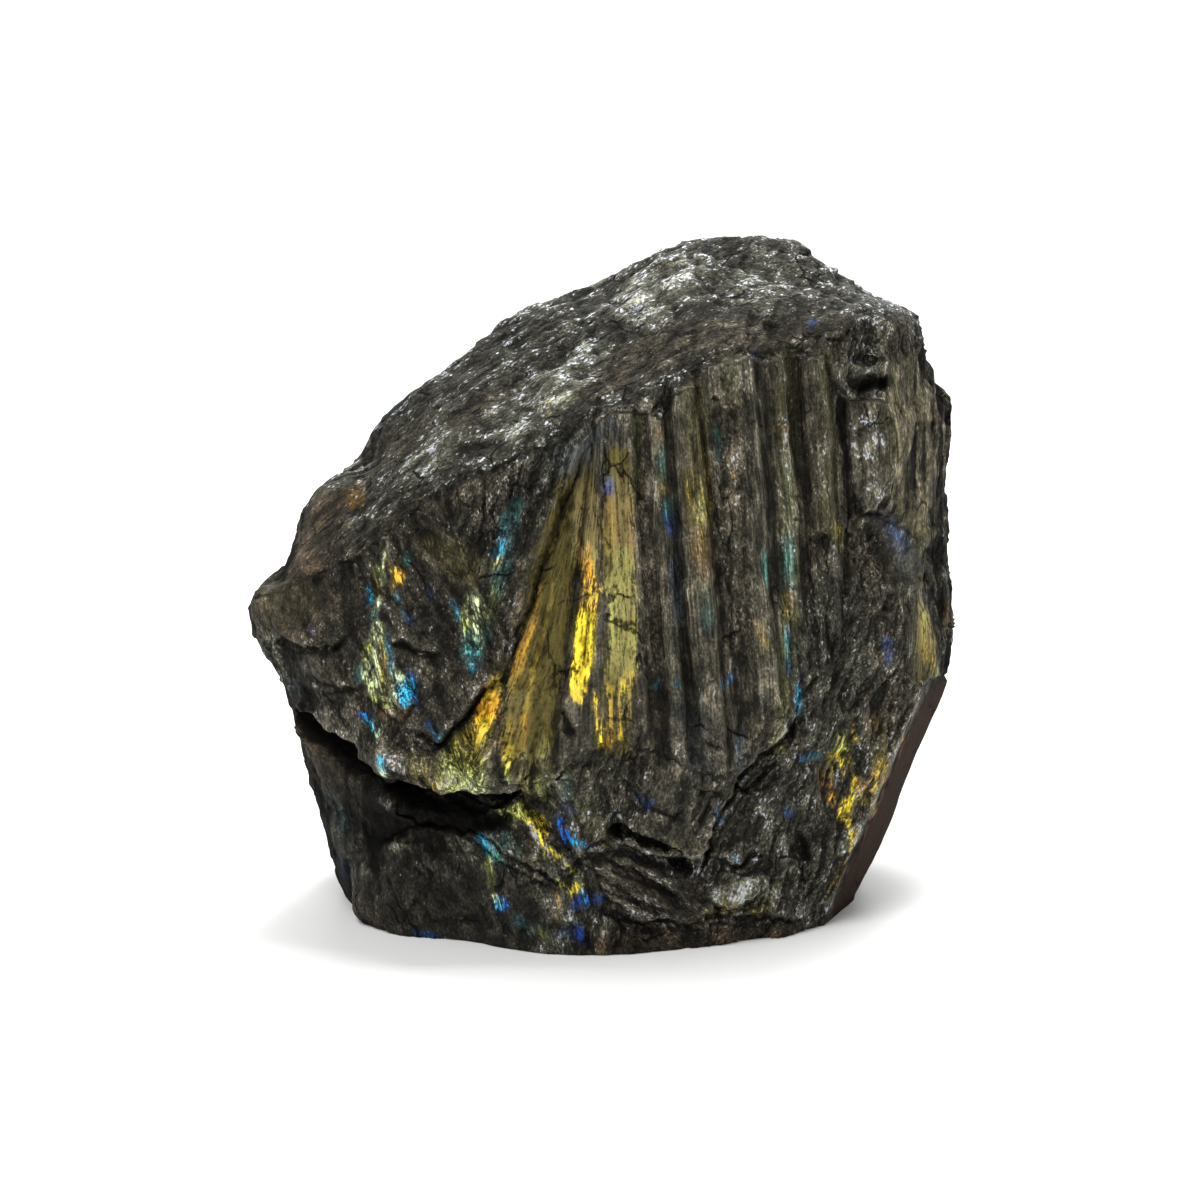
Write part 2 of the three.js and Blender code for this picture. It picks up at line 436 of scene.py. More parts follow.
@dataclass(frozen=True)
class RibbedFace:
    """The ribs of twinned crystal: a moulding whose section runs across the face and leans as it drops."""

    section: Points = (
        (53.2, -1), (53.8, -0.4), (54.5, 0.2), (57.2, 0.4), (57.8, -0.5), (58.3, 0.3), (60, 0.7), (61, 0.4),
        (66, 1.2), (67, -0.7), (69.3, -1), (69.8, 0.5), (71.7, 0.7), (72.2, -0.7), (73.6, -0.6), (74.2, 0.9),
        (76.4, 1.5), (78, 1.2), (79, -0.5), (79.8, 0.5), (82, 1), (84.8, 1.3), (85.4, 1.7), (88.3, 1.5),
        (89, 0.1), (89.5, 0.5), (92, 1.1), (94, 0.9), (94.7, -0.8), (96.2, -0.9), (97, 0.7), (98.7, 1.3),
        (100.5, 0.9), (101.4, -1.7), (103.6, -1.9), (104.1, -0.2), (107, 0.5), (110.5, 0.2), (111.5, 0),
    )
    tops: Points = (
        (53.5, 88), (60, 92.5), (66, 94), (71.5, 93), (74, 97), (79, 98), (80, 101.5), (88.5, 103),
        (89.5, 102), (94, 103), (100.5, 103), (101.5, 99), (103.5, 95.5), (110, 95.5), (111, 106),
    )
    feet: Points = (
        (45, 27), (56, 28), (60, 34), (67, 34), (75, 30), (82, 28), (88, 36), (94, 42), (98, 46), (102, 50),
        (104, 72), (111, 72),
    )
    leans: Points = ((60, 0), (67, 0.05), (79, 0.093), (111, 0.05))
    middle: float = 78.0
    upright: float = 60.0
    fan: float = 0.057
    least_fan: float = 0.35
    left_edge: Span = (53.0, 54.2)
    right_edge: Span = (113.5, 110.5)
    top_edge: Span = (0.2, 1.6)
    foot_edge: Span = (-2.0, 8.0)
    waver: Layers = ((0.45, (5, 14, 1), 1), (0.22, (2, 4, 1), 2))
    ruling: Layers = ((0.20, (1.5, 26, 1), 4), (0.10, (0.7, 12, 1), 5))
    evenness: float = 0.9
    change: Layers = ((0.5, (4, 22, 1), 3),)
    gain: float = 1.3

    def slant(self, place: Array) -> Array:
        """How far across each place lies at the middle height, back along its rib.

        Left of the upright rib they fan out as they go down. Right of it each has a lean of its own.
        """
        drop = self.middle - place[:, 1]
        leaning = place[:, 0] - np.interp(place[:, 0], *zip(*self.leans)) * drop
        spread = np.maximum(1.0 + self.fan * drop, self.least_fan)
        fanned = self.upright + (place[:, 0] - self.upright) / spread
        return np.where(place[:, 0] < self.upright, fanned, leaning)

    def cover(self, place: Array) -> Array:
        """The share of each place that belongs to the ribs, from their tops down to where they fade."""
        across = self.slant(place)
        top = np.interp(across, *zip(*self.tops))
        foot = np.interp(place[:, 0], *zip(*self.feet))
        inside = ease(*self.left_edge, across) * ease(*self.right_edge, across)
        return inside * ease(*self.top_edge, top - place[:, 1]) * ease(*self.foot_edge, place[:, 1] - foot)

    def lift(self, place: Array, grit: Grit) -> Array:
        """Finds the moulding's height, with its wavering edges and fine striations.

        Args:
            place: Places on the plan.
            grit: The roughness to draw from.

        Returns:
            How far the ribs lift, in millimetres.
        """
        flat = np.column_stack([place, np.zeros(len(place))])
        across = self.slant(place)
        ruled = np.column_stack([across, flat[:, 1:]])
        height = np.interp(across + grit.layered(flat, self.waver), *zip(*self.section))
        height *= self.evenness + grit.layered(flat, self.change)
        height += grit.layered(ruled, self.ruling)
        return self.gain * height * self.cover(place)


LIPS: tuple[Lip, ...] = (
    # the dark plate on the left, with a ragged V for its lower edge
    Lip(((25.5, 38), (27.5, 38), (29.5, 37), (31.5, 35.5), (34, 38), (36.5, 40.5), (39, 44.5), (43, 47.5),
        (44, 49)), 2.2, 10, 1),
    # the lobes that hang over the deep cleft
    Lip(((21.5, 35), (24.5, 32), (28.5, 31), (33, 28.5), (37, 27), (41.5, 25.5), (44, 27), (45.5, 29)),
        1.4, 5, 0.6),
    Lip(((42.5, 28.5), (44.5, 27), (46, 29), (47.5, 27), (50.5, 27), (52, 29), (53.5, 26.5), (56, 26.5)),
        1.2, 5, 0.7),
    # under the nose, and the breaks below it
    Lip(((2.5, 54.5), (5.5, 53.5), (9, 52.5), (13.5, 52.5), (17.5, 54)), 1.5, 8, 0.7),
    Lip(((23.5, 52.5), (26, 53.5), (28, 52.5), (33, 51.5)), 0.9, 4, 0.7),
    Lip(((9, 46.5), (14, 45.5), (19, 45.5)), 0.9, 5, 0.5),
    Lip(((21.5, 43.5), (26, 41), (29, 42.5)), 0.8, 4, 0.4),
    # the granular bank on the left of the gold
    Lip(((43.5, 47.5), (45.5, 54), (50, 66), (54, 78), (58, 88)), 1.3, 6, 0.4),
    # the slab and shards at the foot
    Lip(((56.5, 13.5), (50.5, 20.5), (45, 26.5)), 1.7, 5, 0.9),
    Lip(((39, 20.5), (46.5, 15), (54, 11)), 1.5, 5, 0.9),
    Lip(((53.5, 13.5), (58.5, 18), (62.5, 19.5)), 1.1, 6, 0.8),
    Lip(((63, 19.5), (67.5, 17.5), (71.5, 16), (75.5, 15.5), (79, 17.5), (80.5, 20.5)), 1.8, 7, 1),
    Lip(((60, 16.5), (67, 13.5), (75.5, 9)), 1, 3.5, 0.5),
    Lip(((59.5, 13), (67, 9.5), (73.5, 5.5)), 0.9, 3, 0.5),
    Lip(((60, 9.5), (66, 6.5), (71, 3)), 0.9, 3, 0.4),
    Lip(((79, 10), (80.5, 7.8), (83, 7.4), (86.5, 9), (88.2, 13)), 1.5, 6, 0.8),
    Lip(((62, 5.5), (74, 5), (80, 6), (90, 6.4), (97, 5.5)), 1, 6, 0.9),
    # the curved step where the ribs break off
    Lip(((76.8, 12.6), (78.6, 17.9), (81.2, 24), (84.1, 28.3), (86, 32), (87.5, 33.8), (90, 34.9),
        (92.3, 37.6), (93.5, 41), (94, 44.5)), 1.7, 7, 1.3),
    Lip(((81, 15.5), (85, 14.4), (87.2, 16.8), (89.8, 16.5)), 1.2, 5, 1),
    Lip(((83.5, 29.5), (86, 28), (88.5, 30.2), (91.5, 33)), 1.1, 4, 1.1),
    # the round block under the cleft, and the brown ridge beside it
    Lip(((40.5, 18.5), (35.5, 20.5), (28.5, 21.5), (24.5, 19.5), (22, 17)), 1.6, 9, 1),
    Lip(((33, 20.5), (25, 24), (23.5, 31)), 1.2, 6, 0.5),
    # the shield on the right, and the edge of the sawn facet
    Lip(((104, 79), (106, 75.5), (108.5, 75.5), (110.5, 78)), 1.4, 9, 0.7),
    Lip(((95, 4.5), (100.5, 14.5), (104.8, 21.5), (107.8, 28), (111, 36), (116, 46)), 0.9, 4, 0.3),
)

SWELLS: tuple[Swell, ...] = (
    # cracks
    Swell(((56, 65.5, 0.5), (58.5, 67, 0.5)), -0.4),
    Swell(((56, 59.5, 0.5), (60, 63, 0.5)), -0.4),
    Swell(((102.5, 88, 0.6), (110, 91.5, 0.6)), -0.6),
    Swell(((61, 27.5, 0.8), (64.5, 19, 1)), -0.9),
    Swell(((64.5, 28.5, 0.8), (66.5, 25.5, 1)), -0.9),
    Swell(((77, 28, 0.8), (81.5, 26.5, 0.8)), -0.7),
    Swell(((78.5, 36.5, 0.8), (80.5, 35, 0.8)), -0.6),
    Swell(((76, 100, 0.5), (76.3, 78, 0.5)), -0.35),
    Swell(((57, 72, 0.5), (58, 58, 0.5), (57.5, 48, 0.5)), -0.3),
    # pits and hollows
    Swell(((97.5, 70.5, 2.5), (99, 70.5, 2.5)), -1.2),
    Swell(((104.4, 97.3, 3), (109.2, 97.9, 2.8)), -2.2, 0.7),
    Swell(((103, 100.6, 3), (109, 101, 3.4)), 1),
    Swell(((53.8, 41, 1.6), (55, 37.5, 2.2)), -1.2),
    Swell(((94.8, 20.5, 2), (95.6, 16.8, 2.6)), -1.8),
    Swell(((80.5, 94.5, 1.6),), -0.9),
    Swell(((31, 70, 5), (37, 66, 6)), -1.3),
    Swell(((106, 70, 6), (109, 66, 7)), -0.9),
    Swell(((25, 28.5, 4), (32, 25, 6), (39, 23, 5.5), (43.5, 22.5, 3)), -3),
    # lobes and blocks
    Swell(((34, 38, 4), (36, 30, 5)), 0.9),
    Swell(((39, 38, 4), (41, 30, 4)), 0.8),
    Swell(((47, 33, 2.5), (47, 28, 2.5)), 0.7),
    Swell(((50.5, 37, 3), (50, 28, 3.5)), 0.8),
    Swell(((46.5, 9, 8), (54, 7, 8)), 1.2),
    Swell(((27, 10.5, 12), (36, 11, 12)), 1.3),
    Swell(((57, 26, 7), (59.5, 21, 5)), 0.8),
    Swell(((73, 27, 12), (80, 30, 10)), 0.7),
    Swell(((74, 20, 5), (80, 19.5, 4)), 0.9),
    Swell(((80.5, 9.8, 6), (86.5, 11.5, 6.5)), 1.5),
    Swell(((107, 92, 6), (107, 80, 6)), 0.5),
)

DENTS: tuple[Dent, ...] = (
    # under and over the nose
    Dent((4, 50), 5, -1.2),
    Dent((7.5, 40), 6, -1.2),
    Dent((10, 30), 6, -1),
    Dent((3.5, 66.5), 3.2, -2.4),
    Dent((12.5, 79.5), 4, 1.2),
    # along the top
    Dent((18.5, 86), 5, -1.6),
    Dent((61, 115.5), 5, -1),
    Dent((101, 117), 6, -0.8),
    Dent((113.5, 109), 5, 1.5),
    Dent((120, 88), 7, 0.6),
)

# the lobes that hang over the cleft
HANGING: tuple[Dent, ...] = (
    Dent((23.5, 32), 3.6, 2.6),
    Dent((31, 29.5), 4.5, 1.8),
    Dent((39, 27.5), 4, 1.6),
    Dent((45, 26), 3, 1.2),
)


@dataclass(frozen=True)
class Zone:
    """A stretch of the show face with a texture of its own. A value of None leaves what is there."""

    path: Points
    coarse: float | None = None
    # glint is painted glints; light is the rock's own tone with painted highlights; dark is painted shade
    glint: float | None = None
    brown: float | None = None
    dark: float | None = None
    fibre: float | None = None
    light: float | None = None
    turn: float | None = None
    soft: float = 1.5

    def cover(self, place: Array) -> Array:
        """The share of each place that the zone covers."""
        covered = np.zeros(len(place))
        rows, _, share = band(self.path, place, self.soft)
        covered[rows] = share
        return covered


ZONES: tuple[Zone, ...] = (
    # which way the grain runs in the big stretches
    Zone(((14, 70, 40), (24, 40, 50), (30, 8, 60)), turn=-14),
    Zone(((104, 60, 30), (98, 30, 34), (92, 6, 40)), turn=26),
    Zone(((63, 15, 8), (72, 5, 14)), turn=-52),
    # the gold
    Zone(((57, 84, 4), (52.5, 68, 9), (48.5, 46, 11)), coarse=0.08, glint=0.04, fibre=0.8, light=0.8),
    Zone(((58, 70, 6), (61, 60, 11), (60.5, 42, 11)), coarse=0.08, glint=0.1, fibre=0.8, light=1.1),
    # the left, with shade painted into the recess under the nose
    Zone(((12, 64, 20), (30, 60, 34), (36, 44, 22)), coarse=0.75, glint=0.27, brown=0.4, light=0.49),
    Zone(((3, 60, 8), (9, 60, 14)), coarse=0.35, glint=0.15, brown=0.7, light=0.72),
    Zone(((9, 68, 7), (14, 77, 6)), coarse=0.3, glint=0.15, brown=1, light=0.92),
    Zone(((18.5, 78.5, 3.5),), brown=1, light=1.8),
    Zone(((32, 70, 4), (37.5, 66, 5)), coarse=0.15, glint=0.05, brown=0.5, light=1),
    Zone(((14, 50, 16), (28, 44, 12)), coarse=0.8, glint=0.25, light=0.62),
    Zone(((7, 39, 7), (10, 36, 8), (16, 31, 8)), coarse=0.2, brown=0.8, dark=0.45, glint=0.05),
    Zone(((24.5, 30, 3), (26, 24, 4), (33, 20.5, 3)), brown=0.8, glint=0.2),
    Zone(((16, 22, 16), (22, 10, 22)), coarse=0.6, glint=0.1, light=0.55),
    Zone(((29, 10, 18), (44, 6, 14)), coarse=0.6, glint=0.1, light=0.36),
    # the slope over the ridge, with its silver patches painted as highlights where the grains catch the light
    Zone(((17, 76, 10), (30, 83, 12)), light=0.74, soft=3),
    Zone(((20, 86, 4), (45, 94, 6), (62, 100, 7), (76, 106, 7), (100, 107, 5)), glint=0.28, brown=0.55,
         coarse=0.6, light=0.76, soft=2.5),
    Zone(((67, 112, 9), (75, 117, 7)), glint=1, brown=0, light=2.3),
    Zone(((85, 114, 8), (91, 117, 7)), glint=0.9, brown=0, light=1.7),
    Zone(((44, 91, 7), (52, 97, 7), (60, 104, 6)), glint=1, brown=0, light=1.9),
    Zone(((30, 84, 6), (33, 89, 6)), glint=1, brown=0, light=1.8),
    # the ribs
    Zone(((82, 100, 5), (82.5, 70, 5), (84.5, 52, 5)), coarse=0.75, glint=0.4, brown=0.5, fibre=0.4,
         light=1.25),
    Zone(((67.5, 93, 2.5), (68.5, 60, 3), (69, 40, 3)), coarse=0.7, glint=0.7, brown=0.5, fibre=0.5,
         light=3.4),
    Zone(((91.5, 102, 4), (92.5, 60, 4)), coarse=0.35, glint=0.5, fibre=0.8, light=1.3),
    Zone(((98.5, 102, 4), (99.5, 66, 4)), coarse=0.5, glint=0.45, fibre=0.5, light=1.2),
    Zone(((76.3, 97, 4), (77, 76, 4), (78, 58, 2.5)), coarse=0.08, glint=0.08, fibre=0.5, light=1),
    Zone(((84, 100, 8),), light=1.5, glint=0.4),
    Zone(((95.5, 100, 2), (96.5, 60, 2)), brown=0.6, light=0.8),
    Zone(((102.5, 93, 2.5), (103.5, 70, 2.5)), glint=0.5, light=2.1),
    Zone(((88.2, 100, 3), (88.8, 62, 3)), coarse=0.1, glint=0.05, light=0.95, soft=0.8),
    # the right, with shade painted into the pit in the shield and a highlight painted on its lip
    Zone(((101, 60, 12), (99, 42, 14), (94, 20, 22), (92, 8, 20)), coarse=1, glint=0.45, brown=0.1,
         fibre=0.2, light=0.94, soft=3),
    Zone(((106, 90, 6), (107, 80, 6)), coarse=0.5, glint=0.8, fibre=0.4, light=1.9),
    Zone(((114, 98, 8), (114.5, 76, 9)), coarse=0.3, glint=0.25, brown=0.5, fibre=1, light=2.1),
    Zone(((112, 73, 8), (112.5, 66, 8)), coarse=0.2, glint=0.08, fibre=0.4, light=0.95),
    Zone(((114.5, 62, 5), (116, 50, 7)), coarse=0.35, glint=0.2, fibre=1, light=1.6, turn=4),
    Zone(((104.6, 97.2, 1.6), (109, 97.8, 1.4)), dark=0.95, soft=0.5),
    Zone(((103, 100.2, 2), (109.5, 100.6, 2.4)), glint=0.9, light=2.2, soft=0.8),
    # the foot, with highlights painted on the silver lip and plate, and shade painted in the cracks, under the
    # lips and along the base
    Zone(((71.5, 18.2, 2.6), (78.5, 17.6, 3)), glint=1.3, light=3.2, soft=0.8),
    Zone(((75.5, 21, 3), (79.5, 22, 3)), glint=0.9, light=2, soft=0.8),
    Zone(((80.2, 10, 3.6), (86.6, 11.6, 4.6)), coarse=0.9, glint=2.2, light=4, brown=0, soft=0.5),
    Zone(((94.9, 20.2, 1.2), (95.6, 17.2, 1.6)), dark=0.9, soft=0.5),
    Zone(((95.5, 1, 3), (98.5, 7, 2)), dark=0.45, soft=1),
    Zone(((86, 29.6, 2), (88.5, 31.2, 2)), dark=0.5, soft=0.8),
    Zone(((68, 8, 9), (76, 14, 8)), coarse=0.8, glint=0.6, light=0.75),
    Zone(((69, 44, 8), (75, 36, 12), (84, 40, 10)), coarse=0.3, glint=0.15, fibre=0.45, light=1, soft=4),
    Zone(((76, 31, 12), (72, 22, 10)), coarse=0.45, glint=0.3, light=1.1),
    Zone(((57, 1.5, 3), (72, 2.5, 4), (88, 3.5, 4), (98, 3, 3)), brown=1, dark=0.62, glint=0.05, light=1,
         soft=1),
    Zone(((63, 18.3, 1.6), (67, 17, 2.4), (71.5, 15.2, 1.6), (76, 14, 0.8)), dark=0.93, soft=0.6),
    Zone(((60, 8.5, 1.6), (68, 5, 2.4), (76, 4.5, 2)), dark=0.7, soft=0.8),
    # the cleft, painted black as its shade
    Zone(((24, 29, 3), (31, 25.5, 5.5), (38, 23.5, 5.5), (43.5, 23, 3)), dark=0.97, soft=0.9),
)


@dataclass(frozen=True)
class Flash:
    """A streak of painted sheen along the cleavage: the flash of colour that light draws from the stone,
    painted into its colour, which runs through its hues from one end to the other.
    """

    path: Points
    hues: tuple[Hue, ...]
    strength: float
    soft: float = 0.7

    def paint(self, place: Array) -> tuple[Array, Array, Array]:
        """Gives the rows of the places that the streak touches, its strength there and its colour."""
        rows, along, share = band(self.path, place, self.soft)
        return rows, self.strength * share, graded(self.hues, along)


# each streak's path, hues, strength and, where it isn't the usual one, softness
STREAKS = (
    # the gold between the left bank and the first groove
    (((57, 86, 3), (54, 76, 5), (51.5, 62, 8), (49, 48, 9), (48, 38, 9)), (UMBER,), 1.3, 1.6),
    (((51, 62, 2), (47.6, 52, 3.6), (45.6, 43, 3.8), (44.5, 35, 4)), (UMBER, BRONZE, BRONZE), 0.4, 1.2),
    (((50.2, 64, 0.4), (47.6, 54, 0.7), (45.4, 46, 0.5)), (BRONZE, AMBER, GOLD), 0.75, 0.5),
    (((48, 58, 0.4), (46, 52, 0.8), (44.2, 44, 0.5)), (BRONZE, AMBER, BRONZE), 0.75, 0.5),
    (((53, 66, 0.4), (50, 54, 0.5), (46.8, 40, 0.7)), (BRONZE, GOLD, GOLD), 0.6, 0.5),
    (((57.6, 83, 3.6), (57.5, 76, 4.4), (57.7, 68, 4.2)), (UMBER, BRONZE, BRONZE, OLIVE), 1.1, 1),
    (((57.6, 69.5, 2.2), (58.1, 65, 2.4), (58.8, 61.3, 2.8), (57.8, 58, 3.4)), (ORANGE, AMBER, GOLD,
     AMBER), 0.82, 0.6),
    (((57.7, 57.4, 3.2), (57.2, 52, 4.2), (56.6, 47.3, 3.2), (56.2, 44, 1.8)), (YELLOW, YELLOW, YELLOW,
     GOLD), 1.15, 0.5),
    (((63, 85, 4.2), (63.2, 75, 5.4), (63.2, 64, 5.8)), (UMBER, BRONZE, BRONZE, OLIVE), 1.2, 1.1),
    (((62.2, 79, 1.4), (61.4, 69, 2)), (ORANGE, GOLD), 0.35, 0.8),
    (((65.2, 77, 1.2), (65.4, 68, 1.2)), (ORANGE,), 0.3, 0.8),
    (((64, 68, 4), (64, 58, 5), (63.5, 49, 5)), (OLIVE,), 1.15, 1),
    (((62, 66, 1.2), (62.4, 56, 1.6), (62.8, 49, 1.6)), (BRONZE, LIME, BRONZE), 0.4, 0.7),
    (((65.6, 60, 1.4), (65.8, 50, 1.4)), (BRONZE, LIME), 0.35, 0.6),
    (((63.6, 51, 5.2), (63.2, 43, 5.6), (62.8, 36.5, 5.2)), (OLIVE, BRONZE, UMBER), 0.95, 1),
    (((64.8, 48, 1.6), (64.6, 40, 1.8)), (GOLD, BRONZE), 0.5, 0.7),
    (((59.5, 45, 1), (60, 36, 0.9)), (GOLD, YELLOW), 0.9),
    (((63.8, 47, 0.6), (63.6, 38, 0.6)), (YELLOW,), 0.75),
    (((61.6, 46, 0.5), (61.6, 36.5, 0.5)), (YELLOW, AMBER), 0.7),
    (((61.5, 90.5, 3), (54.5, 84.5, 5)), (SLATE,), 0.42, 1.8),
    (((61.5, 82, 1.4), (61.6, 80, 1.2)), (SLATE, BLUE), 0.6),
    (((62.8, 86, 1), (63, 80, 1)), (OLIVE,), 0.3),
    # the amber beside the dark plate, and the fibrous lobes under it
    (((42, 46.6, 2.4), (40.8, 42.5, 4), (40.2, 40, 3.4)), (GOLD, AMBER, AMBER), 1.15, 0.6),
    (((40.5, 40, 2.6), (39.5, 37, 2.6)), (YELLOW, GOLD), 1),
    (((39, 38, 5), (36.5, 32, 9), (37.5, 26.5, 8)), (GOLD, LIME, CREAM), 0.6, 1.2),
    (((29, 33, 4), (31, 28.5, 5)), (OLIVE, GOLD), 0.55, 1.2),
    (((35, 28.5, 2), (41.5, 25, 3), (45, 24, 2)), (LIME, CREAM, LIME), 0.9, 0.6),
    (((44.5, 36, 1.2), (44.2, 30.5, 1.2)), (YELLOW, LIME), 0.95, 0.5),
    (((43.5, 50, 3), (44.5, 44, 3.5), (44.5, 34, 3.5)), (OLIVE, BRONZE, GOLD), 0.42, 1.2),
    (((45, 44, 0.6), (44, 36, 0.8)), (BRONZE, GOLD), 0.7, 0.5),
    (((47.2, 41, 0.6), (46.6, 33, 0.6)), (AMBER, BRONZE), 0.6, 0.5),
    (((47, 34, 2), (47, 28, 2.2)), (OLIVE,), 0.7),
    (((50.5, 36, 2.5), (50.5, 28, 3)), (OLIVE, LIME), 0.5),
    (((54.5, 33, 1.5), (54.5, 27.5, 1.5)), (OLIVE, TEAL), 0.4),
    # the flames on the left
    (((24.6, 67, 1), (26, 65, 1.7), (24.8, 62.8, 0.9)), (GOLD, AMBER, GOLD), 0.74, 0.5),
    (((23.7, 69.6, 1), (23.3, 66.5, 0.8), (23, 63.5, 0.7)), (CREAM, CREAM, LIME), 0.74, 0.5),
    (((21.9, 66.5, 0.6), (22.3, 62.5, 0.7)), (LIME, GOLD), 0.61, 0.5),
    (((27, 68.7, 0.7), (27.2, 66.3, 0.8)), (TEAL,), 0.61, 0.5),
    (((20.6, 63.2, 0.9), (20.9, 61, 0.9)), (CYAN,), 0.79, 0.5),
    (((22.6, 61.5, 0.7), (21.6, 58, 0.9)), (CREAM, TEAL), 0.74, 0.5),
    (((24.5, 62, 0.7), (26, 61.2, 0.6)), (CREAM, CYAN), 0.7, 0.4),
    (((22.3, 57, 0.8), (20.3, 52, 1.5), (20.2, 48, 1.7), (21.5, 44.5, 1)), (CREAM, LIME, CREAM, LIME),
     0.77, 0.6),
    (((22.9, 56.5, 0.6), (21.8, 51, 1.3), (22, 46.5, 1.7), (23.8, 42.8, 1.3)), (CREAM, CREAM, CREAM,
     LIME), 0.83, 0.6),
    (((23.4, 55.5, 0.5), (23.1, 50, 0.9), (23.3, 47, 0.9)), (OLIVE, GOLD, GOLD), 0.7, 0.5),
    (((23.9, 55, 0.6), (24.4, 50.5, 0.9), (24.3, 47, 1.5), (25.4, 43.5, 1.6)), (TEAL, CYAN, CREAM,
     CREAM), 0.77, 0.5),
    (((18.8, 50, 0.6), (18.9, 46.5, 0.8)), (TEAL, CYAN), 0.66, 0.5),
    (((25.8, 48, 1.5), (27, 44, 2.8)), (CREAM, CYAN, CYAN), 0.81, 0.7),
    (((27.8, 48, 1), (28.7, 43.8, 1.5)), (BLUE, CYAN, BLUE), 0.74, 0.6),
    (((23.5, 41.8, 1.2), (27, 41.5, 1)), (ORANGE,), 0.61),
    (((37.6, 61.5, 1), (37, 57.5, 1.5), (37.4, 53, 1)), (CREAM, LIME, TEAL), 0.74, 0.6),
    (((39.2, 61.5, 1.2), (39, 57, 1.7), (39.4, 52, 1.2)), (CREAM, CREAM, TEAL), 0.77, 0.6),
    (((35.2, 60, 0.8), (36, 57.5, 0.9)), (CYAN,), 0.74, 0.5),
    (((37.2, 52.5, 1.5), (38.5, 49.5, 1.5)), (TEAL, CYAN), 0.66, 0.6),
    (((40.6, 60, 0.9), (40.8, 54, 1)), (LIME, TEAL), 0.56, 0.6),
    (((45.8, 77.5, 1.8), (45, 72, 2.6), (43.5, 66, 2), (41.5, 59, 1)), (TEAL, SLATE, TEAL, LIME),
     0.5, 1.2),
    (((43.8, 75, 1.2), (42.8, 68.5, 1.7), (41.6, 62, 1)), (TEAL, CYAN, LIME), 0.56, 0.7),
    (((42, 68, 0.8), (43, 66.5, 0.8)), (YELLOW,), 0.74, 0.4),
    (((19.5, 41.5, 1.2), (20.8, 40, 1.4), (22.5, 38, 0.9)), (BLUE, CYAN, LIME), 0.83, 0.5),
    (((22.6, 34, 1.4), (23.4, 29, 1.8)), (CYAN, CREAM, CYAN), 0.92, 0.5),
    (((31, 40, 0.9), (32.5, 37.5, 0.9)), (BLUE, CYAN), 0.7),
    (((11, 56, 0.8),), (VIOLET,), 0.56),
    (((31.3, 62.3, 1),), (BLUE,), 0.61, 0.5),
    (((26.4, 58.4, 0.7), (27.8, 57.4, 0.8)), (CYAN, VIOLET), 0.79, 0.5),
    (((32, 70, 5), (37, 66.5, 6)), (OLIVE,), 0.42, 1.4),
    (((3.5, 60.5, 5), (8, 60.5, 7)), (OLIVE,), 0.16, 2),
    # down the ribs
    (((66.2, 92, 1), (66.4, 75, 0.9)), (LIME, OLIVE), 0.45),
    (((70.5, 89, 1.6), (70.6, 84, 1.6), (70.8, 80, 1.6)), (ORANGE, TEAL, GOLD), 0.5),
    (((71.6, 77.5, 1.8), (72, 73, 1.6)), (TEAL, BLUE), 0.7),
    (((72.5, 68, 1.8), (73.5, 58, 1.6)), (SLATE,), 0.6),
    (((76.3, 97, 4), (76.8, 80, 4.4), (77.8, 64, 3), (78.3, 57, 1.5)), (OLIVE, OLIVE, GOLD, ORANGE,
     TEAL), 0.42, 1),
    (((77, 79, 1.6), (77.2, 75, 1.6)), (LIME,), 0.4),
    (((82, 99.5, 4), (82.5, 95, 3)), (CREAM, OLIVE), 0.25, 1.5),
    (((80, 89.5, 0.9), (80.3, 86, 0.9)), (TEAL,), 0.5),
    (((83, 82.5, 1.2),), (ORANGE,), 0.5),
    (((88.2, 68.5, 0.8), (88.2, 64, 0.8)), (TEAL,), 0.6),
    (((86.5, 57, 1.6), (88.5, 53.5, 1.4)), (ORANGE, GOLD), 0.45),
    (((91.5, 102, 4), (92, 80, 4), (92, 60, 3), (91.5, 36, 2.5)), (OLIVE, OLIVE, OLIVE, LIME, OLIVE),
     0.32, 1.2),
    (((90.5, 90, 1.6), (92, 89.8, 1.4)), (ORANGE,), 0.5),
    (((92.2, 86, 0.9), (92.3, 72, 0.9)), (CREAM,), 0.5),
    (((92, 70.5, 2.4), (92, 64, 2.4)), (TEAL,), 0.5),
    (((92.3, 62.5, 1.1), (92.2, 58.5, 1.1)), (ORANGE, GOLD), 0.75),
    (((92, 56, 1.3), (92.2, 48, 1)), (CYAN, TEAL, BLUE), 0.65),
    (((98.6, 102, 3), (98.8, 72, 3)), (OLIVE,), 0.35, 1.2),
    (((100.3, 74, 1), (101, 70.5, 1.2)), (YELLOW, LIME), 0.7),
    (((113, 98, 9), (113.5, 72, 8)), (OLIVE,), 0.4, 2),
    (((110, 72.5, 3), (112.5, 67.5, 3.4)), (SLATE, BLUE, SLATE), 0.36, 1.4),
    (((109, 75, 2.5), (111.5, 71, 2)), (BLUE,), 0.35, 1.2),
    (((115, 62.5, 1.6), (117, 61.8, 1.4)), (BLUE,), 0.65),
    (((115.2, 64, 2.4), (116, 57, 5), (116.2, 49.5, 6)), (BRONZE, BRONZE, UMBER), 0.95, 1.2),
    (((115.2, 61, 0.4), (115.4, 51, 0.4)), (LIME, GOLD), 0.6, 0.4),
    (((116.5, 59, 0.3), (116.8, 50, 0.3)), (GOLD,), 0.6, 0.3),
    (((117.8, 59.5, 0.4), (118, 50.5, 0.4)), (GOLD,), 0.6, 0.4),
    (((119, 60, 0.9), (119.2, 56.5, 0.9)), (ORANGE,), 0.8),
    (((117.5, 48.5, 1.5), (118, 44, 1.5)), (LIME, CREAM), 0.5),
    # the shards at the foot
